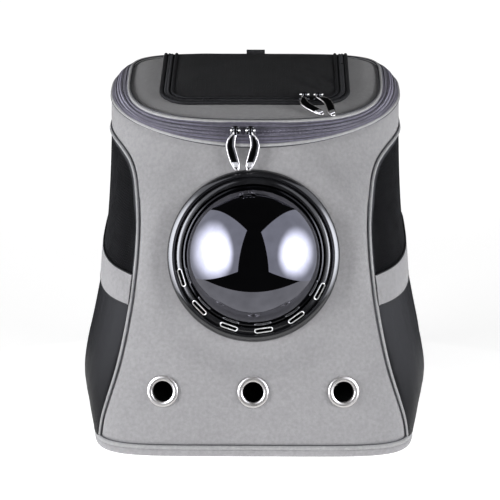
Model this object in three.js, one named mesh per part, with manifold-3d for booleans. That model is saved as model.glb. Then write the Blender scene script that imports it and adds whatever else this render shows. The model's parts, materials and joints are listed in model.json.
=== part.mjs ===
import * as THREE from 'three';
import { mergeVertices } from 'three/addons/utils/BufferGeometryUtils.js';
import Module from 'manifold-3d';

// A soft bubble backpack for carrying a small pet. Millimetres, +Z up, the front faces -Y, and the origin
// is on the ground under the middle of the base.

const wasm = await Module();
wasm.setup();

// Body
const bagWidth = 348;
const bagDepth = 280;
const zipHeight = 329.5;
const lidSlope = 14;
const seamHeight = 10;
const frontWall = 3.2;
const sideWall = 2.2;
const meshWall = 1.4;
const backWall = 8;
const clearance = 0.3;
const facetGap = 0.3;

// Piping cords
const seamPipingRadius = 2.1;
const basePipingRadius = 2.4;
const lidPipingRadius = 1.9;
const pipingProud = 1.1;

// Base
const baseSoleInset = 9;
const baseBulge = 1.6;

// Lid and its zip
const lidWidth = 282;
const lidFrontInset = 15;
const lidBackInset = 18;
const lidSquare = 3.2;
const lidBackSquare = 4.2;
const rimRise = 19;
const rimBulge = 2;
const lidWall = 3;
const lidCrown = 3.5;
const tapeWall = 1.2;
const coilWidth = 3.6;

// Roll-up flap on the lid
const flapWidth = 208;
const flapLength = 137;
const flapBackGap = 7.5;
const flapCorner = 34;
const flapWall = 1.6;
const flapLift = 0.6;
const flapZipWidth = 14;
const flapCoilWidth = 3.2;
const flapTabWidth = 21;
const flapTabHeight = 7;
const flapTabWall = 2.4;

// Dome and its rings
const domeRadius = 76.6;
const domeDepth = 63;
const domeWall = 2;
const domePlace = 0.543021;
const domeSink = 4;
const ringInnerWidth = 7;
const ringOuterWidth = 8;
const ringHeight = 6.4;
const sleeveWall = 2;
const sleeveDepth = 5.2;
const domeLand = 13;
const ventLength = 19;
const ventWidth = 4.6;
const ventCount = 6;
const ventStart = 197;
const ventPitch = 27;

// Eyelets
const eyeletRadius = 17;
const eyeletHole = 11;
const eyeletHeight = 68;
const domeHeight = eyeletHeight + domePlace * (zipHeight - eyeletHeight);
const eyeletSpacing = 96.7;
const eyeletLip = 2.6;

// Side bands and pockets
const bandWidth = 31;
const bandWall = 1.2;
const pocketWall = 1.4;
const pocketBulge = 16;
const pocketGathers = 5;
const gatherDepth = 1.1;

// Zip sliders and pullers
const sliderLength = 11;
const sliderWidth = 8;
const sliderWall = 2.6;
const pinRadius = 1.1;
const pinRise = 3.3;
const pullerLength = 43;
const pullerWidth = 10.5;
const pullerWall = 2.4;
const knuckleWidth = 4.6;
const knuckleRadius = 2.4;
const neckLength = 6;
const earWall = 1.6;
const frontSliderGap = 16;
const frontSliderSide = -11.5;
const flapSliderGap = 15;
const flapSliderInset = 42;
const flapSliderSide = flapWidth / 2 - flapSliderInset;
const flapPullerTurn = 28;
const flapPullerRest = 1.2;

// Shoulder straps
const strapWidth = 62;
const strapWall = 13;
const strapSpacing = 118;
const strapTop = 338;
const strapDrop = 215;
const strapReach = 34;
const webbingWidth = 25;
const webbingWall = 2;
const adjusterWidth = 34;
const adjusterHeight = 24;
const adjusterWall = 4;
const webbingFoot = 22;

// Plan sections of the body. up is a share of the height from the base seam to the zip line, width a share
// of half the bag's width, front and widest are places along the depth as shares of it, square and backSquare
// say how square the corners are, and backSeam is where the back seam runs, in degrees round from the front.
const bodySections = [
  { up: 0.00, width: 1.000, front: -0.500, widest: 0.036, square: 6.0, backSquare: 4.5, backSeam: 125 },
  { up: 0.15, width: 0.994, front: -0.464, widest: 0.064, square: 5.0, backSquare: 4.4, backSeam: 123 },
  { up: 0.35, width: 0.974, front: -0.414, widest: 0.104, square: 4.2, backSquare: 4.2, backSeam: 120 },
  { up: 0.55, width: 0.954, front: -0.361, widest: 0.154, square: 3.5, backSquare: 4.0, backSeam: 118 },
  { up: 0.75, width: 0.937, front: -0.316, widest: 0.196, square: 2.8, backSquare: 3.8, backSeam: 115 },
  { up: 0.90, width: 0.931, front: -0.282, widest: 0.225, square: 2.2, backSquare: 3.7, backSeam: 113 },
  { up: 1.00, width: 0.929, front: -0.261, widest: 0.243, square: 1.95, backSquare: 3.6, backSeam: 112 },
];

// Side seam between the front panel and the sides: up the front, round the shoulder and level to the back
const seamStations = [
  { up: 0.000, turn: 55.0 },
  { up: 0.060, turn: 54.4 },
  { up: 0.140, turn: 52.2 },
  { up: 0.240, turn: 49.6 },
  { up: 0.360, turn: 47.7 },
  { up: 0.500, turn: 46.3 },
  { up: 0.620, turn: 45.9 },
  { up: 0.720, turn: 46.9 },
  { up: 0.800, turn: 49.7 },
  { up: 0.850, turn: 52.7 },
  { up: 0.883, turn: 57.0 },
  { up: 0.902, turn: 64.0 },
  { up: 0.907, turn: 72.0 },
  { up: 0.900, turn: 86.0 },
  { up: 0.893, turn: 99.0 },
  { up: 0.888, turn: 112.0 },
];

// Middle line of the side band, from the seam to the back: across is a share of the way
const bandStations = [
  { across: 0.0, up: 0.508 },
  { across: 0.5, up: 0.527 },
  { across: 1.0, up: 0.540 },
];

// Swell of the pocket, as shares of pocketBulge, from its foot to its mouth
const pocketSwell = [
  { share: 0.00, swell: 0.14 },
  { share: 0.12, swell: 0.62 },
  { share: 0.26, swell: 1.00 },
  { share: 0.42, swell: 0.88 },
  { share: 0.63, swell: 0.46 },
  { share: 0.82, swell: 0.12 },
  { share: 1.00, swell: 0.05 },
];

// Outline of a puller down from its pin: down is a share of its length, middle and width of its width
const pullerSections = [
  { down: 0.10, middle: -0.04, width: 0.40 },
  { down: 0.15, middle: -0.20, width: 0.66 },
  { down: 0.24, middle: -0.40, width: 0.84 },
  { down: 0.40, middle: -0.50, width: 0.92 },
  { down: 0.62, middle: -0.28, width: 1.00 },
  { down: 0.83, middle: 0.00, width: 0.92 },
  { down: 0.96, middle: 0.15, width: 0.60 },
  { down: 1.00, middle: 0.19, width: 0.28 },
];

// Shoulder strap in its side view: down is a share of strapDrop, out of strapReach, width and wall of the
// strap's own
const strapStations = [
  { down: 0.00, out: 0.00, width: 0.90, wall: 0.45 },
  { down: 0.02, out: 0.25, width: 0.94, wall: 0.80 },
  { down: 0.06, out: 0.55, width: 0.98, wall: 1.00 },
  { down: 0.13, out: 0.82, width: 1.00, wall: 1.00 },
  { down: 0.27, out: 1.00, width: 1.00, wall: 1.00 },
  { down: 0.46, out: 0.97, width: 1.00, wall: 1.00 },
  { down: 0.66, out: 0.80, width: 1.00, wall: 1.00 },
  { down: 0.86, out: 0.56, width: 0.92, wall: 0.90 },
  { down: 1.00, out: 0.42, width: 0.62, wall: 0.40 },
];

// Webbing under the adjuster: down its length, and back to the panel that it is sewn to
const webbingStations = [
  { down: 0.0, back: 0.00 },
  { down: 0.3, back: 0.36 },
  { down: 0.6, back: 0.78 },
  { down: 0.8, back: 1.00 },
  { down: 1.0, back: 1.00 },
];

// Mesh counts
const panelColumns = 14;
const seamRows = 22;
const yokeRows = 4;
const sideColumns = 6;
const loopColumns = 40;
const cornerWeight = 80;
const ringSegments = 32;
const eyeletSegments = 18;
const pocketRows = 9;
const pocketColumns = 10;
const coilSides = 4;
const coilFlat = Math.cos(Math.PI / coilSides);

// Where the zip line's height is measured, as a share of the depth, and how far the shaping round the dome
// fades out, as a share of its radius
const zipHeightPlace = -0.214;
const shoulderShare = 0.42;

// Heights, as shares, above which the front panel runs round the shoulder and the seam leaves the front
const yokeUp = 0.78;
const seamFrontUp = 0.85;
const ringOuterRadius = domeRadius + ringInnerWidth + ringOuterWidth + 2 * clearance;
const ringInnerRadius = domeRadius + clearance;
const ringSplitRadius = ringInnerRadius + ringInnerWidth;

const paints = {
  fabric: { name: 'grey_fabric', color: 0x97979b, roughness: 0.85, metalness: 0 },
  piping: { name: 'grey_piping', color: 0xc4c4c6, roughness: 0.7, metalness: 0 },
  tape: { name: 'zip_tape', color: 0x6b697a, roughness: 0.9, metalness: 0 },
  coil: { name: 'zip_coil', color: 0x55535f, roughness: 0.6, metalness: 0 },
  black: { name: 'black_fabric', color: 0x161617, roughness: 0.8, metalness: 0 },
  mesh: { name: 'black_mesh', color: 0x1b1b1c, roughness: 0.9, metalness: 0 },
  plastic: { name: 'black_plastic', color: 0x0e0e0f, roughness: 0.25, metalness: 0 },
  mirror: { name: 'tinted_mirror', color: 0x3b3b44, roughness: 0.05, metalness: 0.9 },
  chrome: { name: 'polished_metal', color: 0xc9c9cc, roughness: 0.15, metalness: 1 },
};

const group = new THREE.Group();
const sides = [{ name: 'left', sign: -1 }, { name: 'right', sign: 1 }];

const radians = THREE.MathUtils.degToRad;
const mix = THREE.MathUtils.lerp;
const sheetShares = (count) => Array.from({ length: count + 1 }, (_, i) => i / count);

// Smooth value of one column of a table at a place along another
function along(table, key, column, place) {
  const last = table.length - 1;
  const at = THREE.MathUtils.clamp(place, table[0][key], table[last][key]);
  let row = 0;
  while (row < last - 1 && table[row + 1][key] < at) row += 1;
  const slope = (i) => {
    const a = table[Math.max(i - 1, 0)];
    const b = table[Math.min(i + 1, last)];
    return (b[column] - a[column]) / (b[key] - a[key]);
  };
  const from = table[row];
  const to = table[row + 1];
  const span = to[key] - from[key];
  const t = (at - from[key]) / span;
  const start = (1 + 2 * t) * (1 - t) * (1 - t) * from[column] + t * (1 - t) * (1 - t) * span * slope(row);
  const end = t * t * (3 - 2 * t) * to[column] + t * t * (t - 1) * span * slope(row + 1);
  return start + end;
}

// Point of a rounded outline round (0, middle) at an angle from the front
function outline(turn, halfWidth, front, back, middle, square, backSquare) {
  const s = Math.sin(radians(turn));
  const c = Math.cos(radians(turn));
  const depth = c > 0 ? middle - front : back - middle;
  const power = c > 0 ? square : backSquare;
  const reach = (Math.abs(s) / halfWidth) ** power + (Math.abs(c) / depth) ** power;
  const r = reach ** (-1 / power);
  return new THREE.Vector2(r * s, middle - r * c);
}

const backFace = bagDepth / 2;
const slope = Math.tan(radians(lidSlope));
const zipPlane = (y) => zipHeight + slope * (y - zipHeightPlace * bagDepth);

// Body surface before it is drawn flat round the dome
function plainPoint(turn, up, inset = 0) {
  const value = (column) => along(bodySections, 'up', column, up);
  const halfWidth = value('width') * bagWidth / 2 - inset;
  const front = value('front') * bagDepth + inset;
  const middle = value('widest') * bagDepth;
  const plan = outline(turn, halfWidth, front, backFace - inset, middle, value('square'), value('backSquare'));
  const height = seamHeight + up * (zipPlane(plan.y) - seamHeight);
  return new THREE.Vector3(plan.x, plan.y, height);
}

// Share of the height at which the middle of the front reaches a height
function upAtHeight(height) {
  let low = 0;
  let high = 1;
  for (let i = 0; i < 40; i += 1) {
    const middle = (low + high) / 2;
    if (plainPoint(0, middle).z < height) low = middle;
    else high = middle;
  }
  return low;
}

const domeUp = upAtHeight(domeHeight);
const domeRising = plainPoint(0, domeUp + 0.2).sub(plainPoint(0, domeUp - 0.2)).normalize();
const domeAxis = new THREE.Vector3(1, 0, 0).cross(domeRising).normalize();
const domeSeat = plainPoint(0, domeUp).addScaledVector(domeAxis, -domeSink);

// Body surface, flat under the dome's rings and blended back round them
function bodyPoint(turn, up, inset = 0) {
  const point = plainPoint(turn, up, inset);
  if (Math.abs(turn) >= 90) return point;
  const arm = point.clone().sub(domeSeat);
  const lift = arm.dot(domeAxis) + inset;
  const away = arm.addScaledVector(domeAxis, -arm.dot(domeAxis)).length();
  const flatRadius = ringOuterRadius + domeLand;
  const fade = 1 - THREE.MathUtils.smoothstep(away, flatRadius, flatRadius + shoulderShare * domeRadius);
  return point.addScaledVector(domeAxis, -lift * fade);
}

// Outward direction of the body surface
function bodyNormal(turn, up) {
  const low = Math.max(up - 0.004, 0);
  const high = Math.min(up + 0.004, 1);
  const rise = bodyPoint(turn, high).sub(bodyPoint(turn, low));
  const run = bodyPoint(turn + 0.4, (low + high) / 2).sub(bodyPoint(turn - 0.4, (low + high) / 2));
  return run.cross(rise).normalize();
}

const offBody = (turn, up, lift) => bodyPoint(turn, up).addScaledVector(bodyNormal(turn, up), lift);

// Closed body from vertices and triangles, turned so that its faces point out
function closedGeometry(points, triangles) {
  const arm = new THREE.Vector3();
  const volume = triangles.reduce((sum, [a, b, c]) => sum + arm.copy(points[a]).cross(points[b]).dot(points[c]), 0);
  const facing = volume < 0 ? triangles.map(([a, b, c]) => [a, c, b]) : triangles;
  const geometry = new THREE.BufferGeometry();
  geometry.setAttribute('position', new THREE.Float32BufferAttribute(points.flatMap((p) => [p.x, p.y, p.z]), 3));
  geometry.setIndex(facing.flat());
  return geometry;
}

// Sheet with thickness: rows of points on its outer and inner faces, joined round the four edges
function slab(outer, inner) {
  const rows = outer.length;
  const columns = outer[0].length;
  const points = [...outer.flat(), ...inner.flat()];
  const out = (i, j) => i * columns + j;
  const back = (i, j) => rows * columns + i * columns + j;
  const triangles = [];
  const quad = (a, b, c, d) => triangles.push([a, b, c], [a, c, d]);
  for (let i = 0; i < rows - 1; i += 1) {
    for (let j = 0; j < columns - 1; j += 1) {
      quad(out(i, j), out(i, j + 1), out(i + 1, j + 1), out(i + 1, j));
      quad(back(i, j), back(i + 1, j), back(i + 1, j + 1), back(i, j + 1));
    }
    quad(out(i, 0), out(i + 1, 0), back(i + 1, 0), back(i, 0));
    quad(out(i, columns - 1), back(i, columns - 1), back(i + 1, columns - 1), out(i + 1, columns - 1));
  }
  for (let j = 0; j < columns - 1; j += 1) {
    quad(out(0, j), back(0, j), back(0, j + 1), out(0, j + 1));
    quad(out(rows - 1, j), out(rows - 1, j + 1), back(rows - 1, j + 1), back(rows - 1, j));
  }
  return closedGeometry(points, triangles);
}

// Skin over closed rings of points. Open skins are capped, and a ring of one point closes to a tip.
function loft(rings, closed) {
  const points = rings.flat();
  const starts = [];
  rings.reduce((sum, ring) => {
    starts.push(sum);
    return sum + ring.length;
  }, 0);
  const triangles = [];
  const spans = closed ? rings.length : rings.length - 1;
  for (let i = 0; i < spans; i += 1) {
    const next = (i + 1) % rings.length;
    const count = Math.max(rings[i].length, rings[next].length);
    for (let j = 0; j < count; j += 1) {
      const k = (j + 1) % count;
      const low = (n) => starts[i] + (rings[i].length === 1 ? 0 : n);
      const high = (n) => starts[next] + (rings[next].length === 1 ? 0 : n);
      if (rings[i].length > 1) triangles.push([low(j), low(k), high(k)]);
      if (rings[next].length > 1) triangles.push([low(j), high(k), high(j)]);
    }
  }
  if (!closed) {
    const first = rings[0].length;
    const end = rings[rings.length - 1].length;
    for (let j = 1; j < first - 1; j += 1) triangles.push([0, j + 1, j]);
    const from = starts[rings.length - 1];
    for (let j = 1; j < end - 1; j += 1) triangles.push([from, from + j, from + j + 1]);
  }
  return closedGeometry(points, triangles);
}

// Manifold solid of a closed geometry
function solidOf(geometry) {
  const plain = geometry.index ? geometry.clone() : geometry;
  plain.deleteAttribute('normal');
  plain.deleteAttribute('uv');
  const merged = mergeVertices(plain, 1e-4);
  return new wasm.Manifold(new wasm.Mesh({
    numProp: 3,
    vertProperties: new Float32Array(merged.attributes.position.array),
    triVerts: new Uint32Array(merged.index.array),
  }));
}

function geometryOf(solid) {
  const mesh = solid.getMesh();
  const geometry = new THREE.BufferGeometry();
  geometry.setAttribute('position', new THREE.Float32BufferAttribute(mesh.vertProperties, 3));
  geometry.setIndex([...mesh.triVerts]);
  return geometry;
}

const cut = (geometry, tools) =>
  geometryOf(tools.reduce((solid, tool) => solid.subtract(solidOf(tool)), solidOf(geometry)));
const join = (geometries) => geometryOf(geometries.map(solidOf).reduce((a, b) => a.add(b)));

function addMesh(name, geometry, paint, parent = group) {
  const mesh = new THREE.Mesh(geometry, new THREE.MeshStandardMaterial(paint));
  mesh.name = name;
  parent.add(mesh);
  return mesh;
}

// Closed ring turned round +Z from a section of radii and heights, counted anticlockwise
function turned(section, segments = ringSegments) {
  const profile = section.map(([radius, height]) => new THREE.Vector2(radius, height));
  profile.push(profile[0].clone());
  return new THREE.LatheGeometry(profile, segments).rotateX(Math.PI / 2);
}

// Moves a geometry made round +Z to a seat on the body, with +Z along its outward axis and +Y upwards
function seated(geometry, seat, axis) {
  const across = new THREE.Vector3(0, 0, 1).cross(axis).normalize();
  const upward = axis.clone().cross(across);
  const place = new THREE.Matrix4().makeBasis(across, upward, axis).setPosition(seat);
  return geometry.applyMatrix4(place);
}

// Seam points in turn and share of the height, evenly spaced along the cloth
const millimetresPerTurn = radians(1) * bagWidth / 2;
const wallHeight = zipHeight - seamHeight;
const seamCurve = new THREE.CatmullRomCurve3(
  seamStations.map((s) => new THREE.Vector3(s.turn * millimetresPerTurn, s.up * wallHeight, 0)), false, 'centripetal');
const seamSpots = seamCurve.getSpacedPoints(seamRows);

const spotPoint = (spot) => bodyPoint(spot.x / millimetresPerTurn, spot.y / wallHeight);

// The seam moved over the cloth: a positive shift goes towards the front panel
function seamEdge(index, shift) {
  const turn = seamSpots[index].x / millimetresPerTurn;
  const up = seamSpots[index].y / wallHeight;
  const low = Math.max(up - 0.004, 0);
  const perTurn = bodyPoint(turn + 0.2, up).sub(bodyPoint(turn - 0.2, up)).multiplyScalar(1 / 0.4);
  const perUp = bodyPoint(turn, up + 0.004).sub(bodyPoint(turn, low)).multiplyScalar(1 / (up + 0.004 - low));
  const before = spotPoint(seamSpots[Math.max(index - 1, 0)]);
  const way = spotPoint(seamSpots[Math.min(index + 1, seamRows)]).sub(before).normalize();
  const aim = way.cross(bodyNormal(turn, up)).multiplyScalar(-shift);
  const shear = perTurn.dot(perUp);
  const size = perTurn.lengthSq() * perUp.lengthSq() - shear * shear;
  const turnShift = (aim.dot(perTurn) * perUp.lengthSq() - aim.dot(perUp) * shear) / size;
  const upShift = (aim.dot(perUp) * perTurn.lengthSq() - aim.dot(perTurn) * shear) / size;
  return { turn: turn + turnShift, up: up + upShift };
}

const seamGap = seamPipingRadius + clearance;
const footUp = (basePipingRadius + clearance + facetGap) / wallHeight;
const brimUp = 1 - (lidPipingRadius + clearance + 2 * facetGap) / wallHeight;
const backSeamAt = (up) => along(bodySections, 'up', 'backSeam', up);
const backGap = (clearance / 2 + facetGap) / millimetresPerTurn;

// Cloth through spots on the body: an outer and an inner skin with walls along every free edge
function clothOf(spots, faces, wall) {
  const outer = spots.map((at) => offBody(at.turn, at.up, 0));
  const inner = spots.map((at) => offBody(at.turn, at.up, -wall));
  const count = spots.length;
  const triangles = faces.flatMap(([a, b, c]) => [[a, b, c], [a + count, c + count, b + count]]);
  const edges = new Set(faces.flatMap(([a, b, c]) => [`${a} ${b}`, `${b} ${c}`, `${c} ${a}`]));
  edges.forEach((edge) => {
    const [a, b] = edge.split(' ').map(Number);
    if (!edges.has(`${b} ${a}`)) triangles.push([b, a, a + count], [b, a + count, b + count]);
  });
  return closedGeometry([...outer, ...inner], triangles);
}

// Front panel: rows from seam to seam below the shoulder, then columns up to the zip, out to both back seams
function frontSheet() {
  const bend = seamSpots.findIndex((spot) => spot.y / wallHeight > yokeUp);
  const spots = [];
  const faces = [];
  const quadRow = (low, high, count) => {
    for (let j = 0; j < count - 1; j += 1) {
      faces.push([low[j], low[j + 1], high[j + 1]], [low[j], high[j + 1], high[j]]);
    }
  };
  const addRow = (row) => row.map((at) => spots.push(at) - 1);
  let last = [];
  for (let i = 0; i <= bend; i += 1) {
    const edge = seamEdge(i, seamGap);
    edge.up = Math.max(edge.up, footUp);
    const shares = sheetShares(panelColumns).map((share) => 2 * share - 1);
    const row = addRow(shares.map((share) => ({ turn: share * edge.turn, up: edge.up })));
    if (i > 0) quadRow(last, row, row.length);
    last = row;
  }
  const wing = [];
  for (let i = bend + 1; i <= seamRows; i += 1) wing.push(seamEdge(i, seamGap));
  wing[wing.length - 1].turn = backSeamAt(wing[wing.length - 1].up) - backGap;
  const leftWing = addRow(wing.map((at) => ({ turn: -at.turn, up: at.up })).reverse());
  let low = [...leftWing, ...last, ...addRow(wing)];
  const foot = low.map((index) => spots[index]);
  for (let i = 1; i <= yokeRows; i += 1) {
    const high = addRow(foot.map((at, j) => {
      const up = mix(at.up, brimUp, i / yokeRows);
      const atEnd = j === 0 || j === foot.length - 1;
      return { turn: atEnd ? Math.sign(at.turn) * (backSeamAt(up) - backGap) : at.turn, up };
    }));
    quadRow(low, high, high.length);
    low = high;
  }
  return clothOf(spots, faces, frontWall);
}

const skinOf = (rows, lift) => rows.map((row) => row.map((at) => offBody(at.turn, at.up, lift)));

function holeTool(radius, length, seat, axis) {
  const tool = new THREE.CylinderGeometry(radius, radius, length, ringSegments).rotateX(Math.PI / 2);
  return seated(tool, seat, axis);
}

const eyeletSeats = [-1, 0, 1].map((column) => {
  const up = upAtHeight(eyeletHeight);
  let turn = 0;
  for (let i = 0; i < 30; i += 1) {
    turn += (column * eyeletSpacing - bodyPoint(turn, up).x) / (2 * millimetresPerTurn);
  }
  return { seat: bodyPoint(turn, up), axis: bodyNormal(turn, up) };
});

function frontPanel() {
  const depth = 12 * frontWall;
  const tools = [holeTool(ringSplitRadius + sleeveWall, depth, domeSeat, domeAxis)];
  eyeletSeats.forEach(({ seat, axis }) => tools.push(holeTool(eyeletHole + sleeveWall, depth, seat, axis)));
  addMesh('front_panel', cut(frontSheet(), tools), paints.fabric);
}

// Rows of a side patch, from the seam to the back seam
function sideRows(side, from, to, lowUp, highUp) {
  const rows = [];
  for (let i = from; i <= to; i += 1) {
    const start = seamEdge(i, -seamGap);
    start.up = Math.max(start.up, footUp);
    const endUp = Math.max(mix(lowUp, highUp, (i - from) / (to - from)), footUp);
    const end = backSeamAt(endUp) - backGap;
    const row = [];
    for (let j = 0; j <= sideColumns; j += 1) {
      const share = side.sign > 0 ? j / sideColumns : 1 - j / sideColumns;
      row.push({ turn: side.sign * mix(start.turn, end, share), up: mix(start.up, endUp, share) });
    }
    rows.push(row);
  }
  return rows;
}

const bandRow = seamSpots.findIndex((spot) => spot.y / wallHeight > bandStations[0].up);
const bandEnd = bandStations[bandStations.length - 1].up;
const splitUp = (clearance / 2) / wallHeight;

function sidePanels(side) {
  const lower = sideRows(side, 0, bandRow, 0, bandEnd);
  const top = seamStations[seamStations.length - 1].up - 2 * seamGap / wallHeight;
  const upper = sideRows(side, bandRow, seamRows - 1, bandEnd, top);
  lower[lower.length - 1].forEach((at) => { at.up -= splitUp; });
  upper[0].forEach((at) => { at.up += splitUp; });
  addMesh(`side_wall_${side.name}`, slab(skinOf(lower, 0), skinOf(lower, -sideWall)), paints.black);
  addMesh(`mesh_window_${side.name}`, slab(skinOf(upper, 0), skinOf(upper, -meshWall)), paints.mesh);
}

// Spot on the side at a share of the way back and at a distance below the band's middle line
function sideSpot(side, across, drop) {
  const middle = along(bandStations, 'across', 'up', across);
  const up = Math.max(middle - drop / wallHeight, footUp);
  const stations = seamStations.filter((station) => station.up <= seamFrontUp);
  const start = along(stations, 'up', 'turn', up) + seamGap / millimetresPerTurn;
  return { turn: side.sign * mix(start, backSeamAt(up) - backGap, across), up };
}

const acrossShares = (side) => (
  side.sign > 0 ? sheetShares(pocketColumns) : sheetShares(pocketColumns).reverse());

// Black pocket: a cloth layer drawn in at its edges, swelling outwards with soft gathers
function pocketLift(across, share) {
  const swell = along(pocketSwell, 'share', 'swell', share) * Math.sin(Math.PI * across) ** 0.6;
  const gather = gatherDepth * Math.cos(2 * Math.PI * pocketGathers * across) * Math.sin(Math.PI * across);
  return pocketBulge * swell + gather * share;
}

function sidePocket(side) {
  const drop = (across, share) => {
    const middle = along(bandStations, 'across', 'up', across);
    return mix(middle * wallHeight, -bandWidth / 2 + 1, share);
  };
  const layer = (lift) => sheetShares(pocketRows).map((share) => acrossShares(side).map((across) => {
    const at = sideSpot(side, across, drop(across, share));
    return offBody(at.turn, at.up, Math.max(pocketLift(across, share), 0) + clearance + lift);
  }));
  addMesh(`side_pocket_${side.name}`, slab(layer(pocketWall), layer(0)), paints.black);
}

// Grey band stitched along the mouth of the pocket
function sideBand(side) {
  const height = (share) => mix(bandWidth / 2, -bandWidth / 2, share);
  const layer = (lift) => sheetShares(3).map((row) => acrossShares(side).map((across) => {
    const at = sideSpot(side, across, height(row));
    const middle = along(bandStations, 'across', 'up', across) * wallHeight;
    const share = (middle - height(row)) / (middle + bandWidth / 2 - 1);
    const swell = Math.max(pocketLift(across, share), 0);
    return offBody(at.turn, at.up, swell + pocketWall + 2 * (clearance + facetGap) + lift);
  }));
  addMesh(`side_band_${side.name}`, slab(layer(bandWall), layer(0)), paints.fabric);
}

function backPanel() {
  const ups = sheetShares(7).map((share) => mix(footUp, brimUp, share));
  const rows = ups.map((up) => sheetShares(10).map((share) => {
    const seam = backSeamAt(up) + backGap;
    return { turn: mix(seam, 360 - seam, share), up };
  }));
  addMesh('back_panel', slab(skinOf(rows, 0), skinOf(rows, -backWall)), paints.black);
}

// Turns round a closed outline, closer together where it bends
function turnsRound(planAt) {
  const steps = 720;
  const spots = Array.from({ length: steps }, (_, i) => planAt(360 * i / steps));
  const reach = [0];
  for (let i = 0; i < steps; i += 1) {
    const before = spots[(i + steps - 1) % steps];
    const next = spots[(i + 1) % steps];
    const way = new THREE.Vector2(next.x - spots[i].x, next.y - spots[i].y);
    const bend = new THREE.Vector2(spots[i].x - before.x, spots[i].y - before.y).angleTo(way);
    reach.push(reach[i] + way.length() + cornerWeight * Math.abs(bend));
  }
  return Array.from({ length: loopColumns }, (_, i) => {
    const aim = reach[steps] * (i + 0.5) / loopColumns;
    const step = reach.findIndex((value) => value > aim) - 1;
    return 360 * (step + (aim - reach[step]) / (reach[step + 1] - reach[step])) / steps;
  });
}

const baseTurns = turnsRound((turn) => plainPoint(turn, 0));

// Cord of round section through frames of centre, outward direction and direction of travel
function cord(frames, radius, sidesOfCord, closed) {
  const rings = frames.map(({ centre, out, way }) => {
    const side = way.clone().cross(out).normalize();
    return Array.from({ length: sidesOfCord }, (_, i) => {
      const angle = 2 * Math.PI * (i + 0.5) / sidesOfCord;
      return centre.clone().addScaledVector(out, radius * Math.cos(angle)).addScaledVector(side, radius * Math.sin(angle));
    });
  });
  return loft(rings, closed);
}

// Frames along a run of points, with the outward directions made square to the way
function framesOf(centres, outs, closed) {
  const count = centres.length;
  return centres.map((centre, i) => {
    const before = closed ? centres[(i + count - 1) % count] : centres[Math.max(i - 1, 0)];
    const after = closed ? centres[(i + 1) % count] : centres[Math.min(i + 1, count - 1)];
    const way = after.clone().sub(before).normalize();
    const out = outs[i].clone().addScaledVector(way, -outs[i].dot(way)).normalize();
    return { centre, out, way };
  });
}

function seamPiping(side) {
  const spots = seamSpots.map((spot) => ({ turn: side.sign * spot.x / millimetresPerTurn, up: spot.y / wallHeight }));
  spots[0].up = (basePipingRadius + seamPipingRadius + 2 * clearance) / wallHeight;
  const centres = spots.map((at) => offBody(at.turn, at.up, pipingProud - seamPipingRadius / 2));
  const outs = spots.map((at) => bodyNormal(at.turn, at.up));
  const frames = framesOf(centres, outs, false);
  addMesh(`seam_piping_${side.name}`, cord(frames, seamPipingRadius, 6, false), paints.piping);
}

function basePiping() {
  const centres = baseTurns.map((turn) => offBody(turn, 0, pipingProud - basePipingRadius / 2));
  const outs = baseTurns.map((turn) => bodyNormal(turn, 0));
  addMesh('base_piping', cord(framesOf(centres, outs, true), basePipingRadius, 6, true), paints.piping);
}

// Padded base: flat sole, rounded and slightly swollen rim
function basePanel() {
  const top = seamHeight - basePipingRadius - clearance;
  const rim = [
    { inset: baseSoleInset, height: 0 },
    { inset: 0.2 * baseSoleInset, height: 0.22 * top },
    { inset: -baseBulge, height: 0.62 * top },
    { inset: 0.2 * baseSoleInset, height: top },
  ];
  const ring = ({ inset, height }) => baseTurns.map((turn) => plainPoint(turn, 0, inset).setZ(height));
  const centre = (height) => [new THREE.Vector3(0, 0, height)];
  addMesh('base_panel', loft([centre(0), ...rim.map(ring), centre(top)], false), paints.fabric);
}

const topSection = bodySections[bodySections.length - 1];

// Outline of the lid's top in plan
function lidOutline(turn, inset = 0) {
  const front = topSection.front * bagDepth + lidFrontInset + inset;
  const back = backFace - lidBackInset - inset;
  const middle = topSection.widest * bagDepth;
  return outline(turn, lidWidth / 2 - inset, front, back, middle, lidSquare, lidBackSquare);
}

// Point of the sloping rim: share 0 on the zip line, 1 on the edge of the lid's top
function rimPoint(turn, share) {
  const low = plainPoint(turn, 1);
  const plan = lidOutline(turn);
  const high = new THREE.Vector3(plan.x, plan.y, zipPlane(plan.y) + rimRise);
  return low.lerp(high, share);
}

const lidTurns = turnsRound((turn) => rimPoint(turn, 0.5));

function rimNormal(turn, share) {
  const run = rimPoint(turn + 0.5, share).sub(rimPoint(turn - 0.5, share));
  const rise = rimPoint(turn, 1).sub(rimPoint(turn, 0));
  return run.cross(rise).normalize();
}

const offRim = (turn, share, lift) => {
  const bulge = rimBulge * Math.sin(Math.PI * share);
  return rimPoint(turn, share).addScaledVector(rimNormal(turn, share), bulge + lift);
};
const rimShare = (turn, length) => length / rimPoint(turn, 1).distanceTo(rimPoint(turn, 0));

// Strip of cloth round the rim between two shares of it, kept clear of the cords at both edges
function rimStrip(from, to, lowGap, highGap) {
  const rings = lidTurns.map((turn) => {
    const low = from + rimShare(turn, lowGap);
    const high = to - rimShare(turn, highGap);
    return [offRim(turn, low, 0), offRim(turn, high, 0), offRim(turn, high, -tapeWall), offRim(turn, low, -tapeWall)];
  });
  return loft(rings, true);
}

const coilCentres = lidTurns.map((turn) => offRim(turn, 0.5, -tapeWall / 2));

// Middle of the zip's coil at a place along the front
function coilAt(x) {
  const next = coilCentres.findIndex((centre) => centre.x > x && centre.y < 0);
  const from = coilCentres[(next + loopColumns - 1) % loopColumns];
  const to = coilCentres[next];
  return from.clone().lerp(to, (x - from.x) / (to.x - from.x));
}

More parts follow.
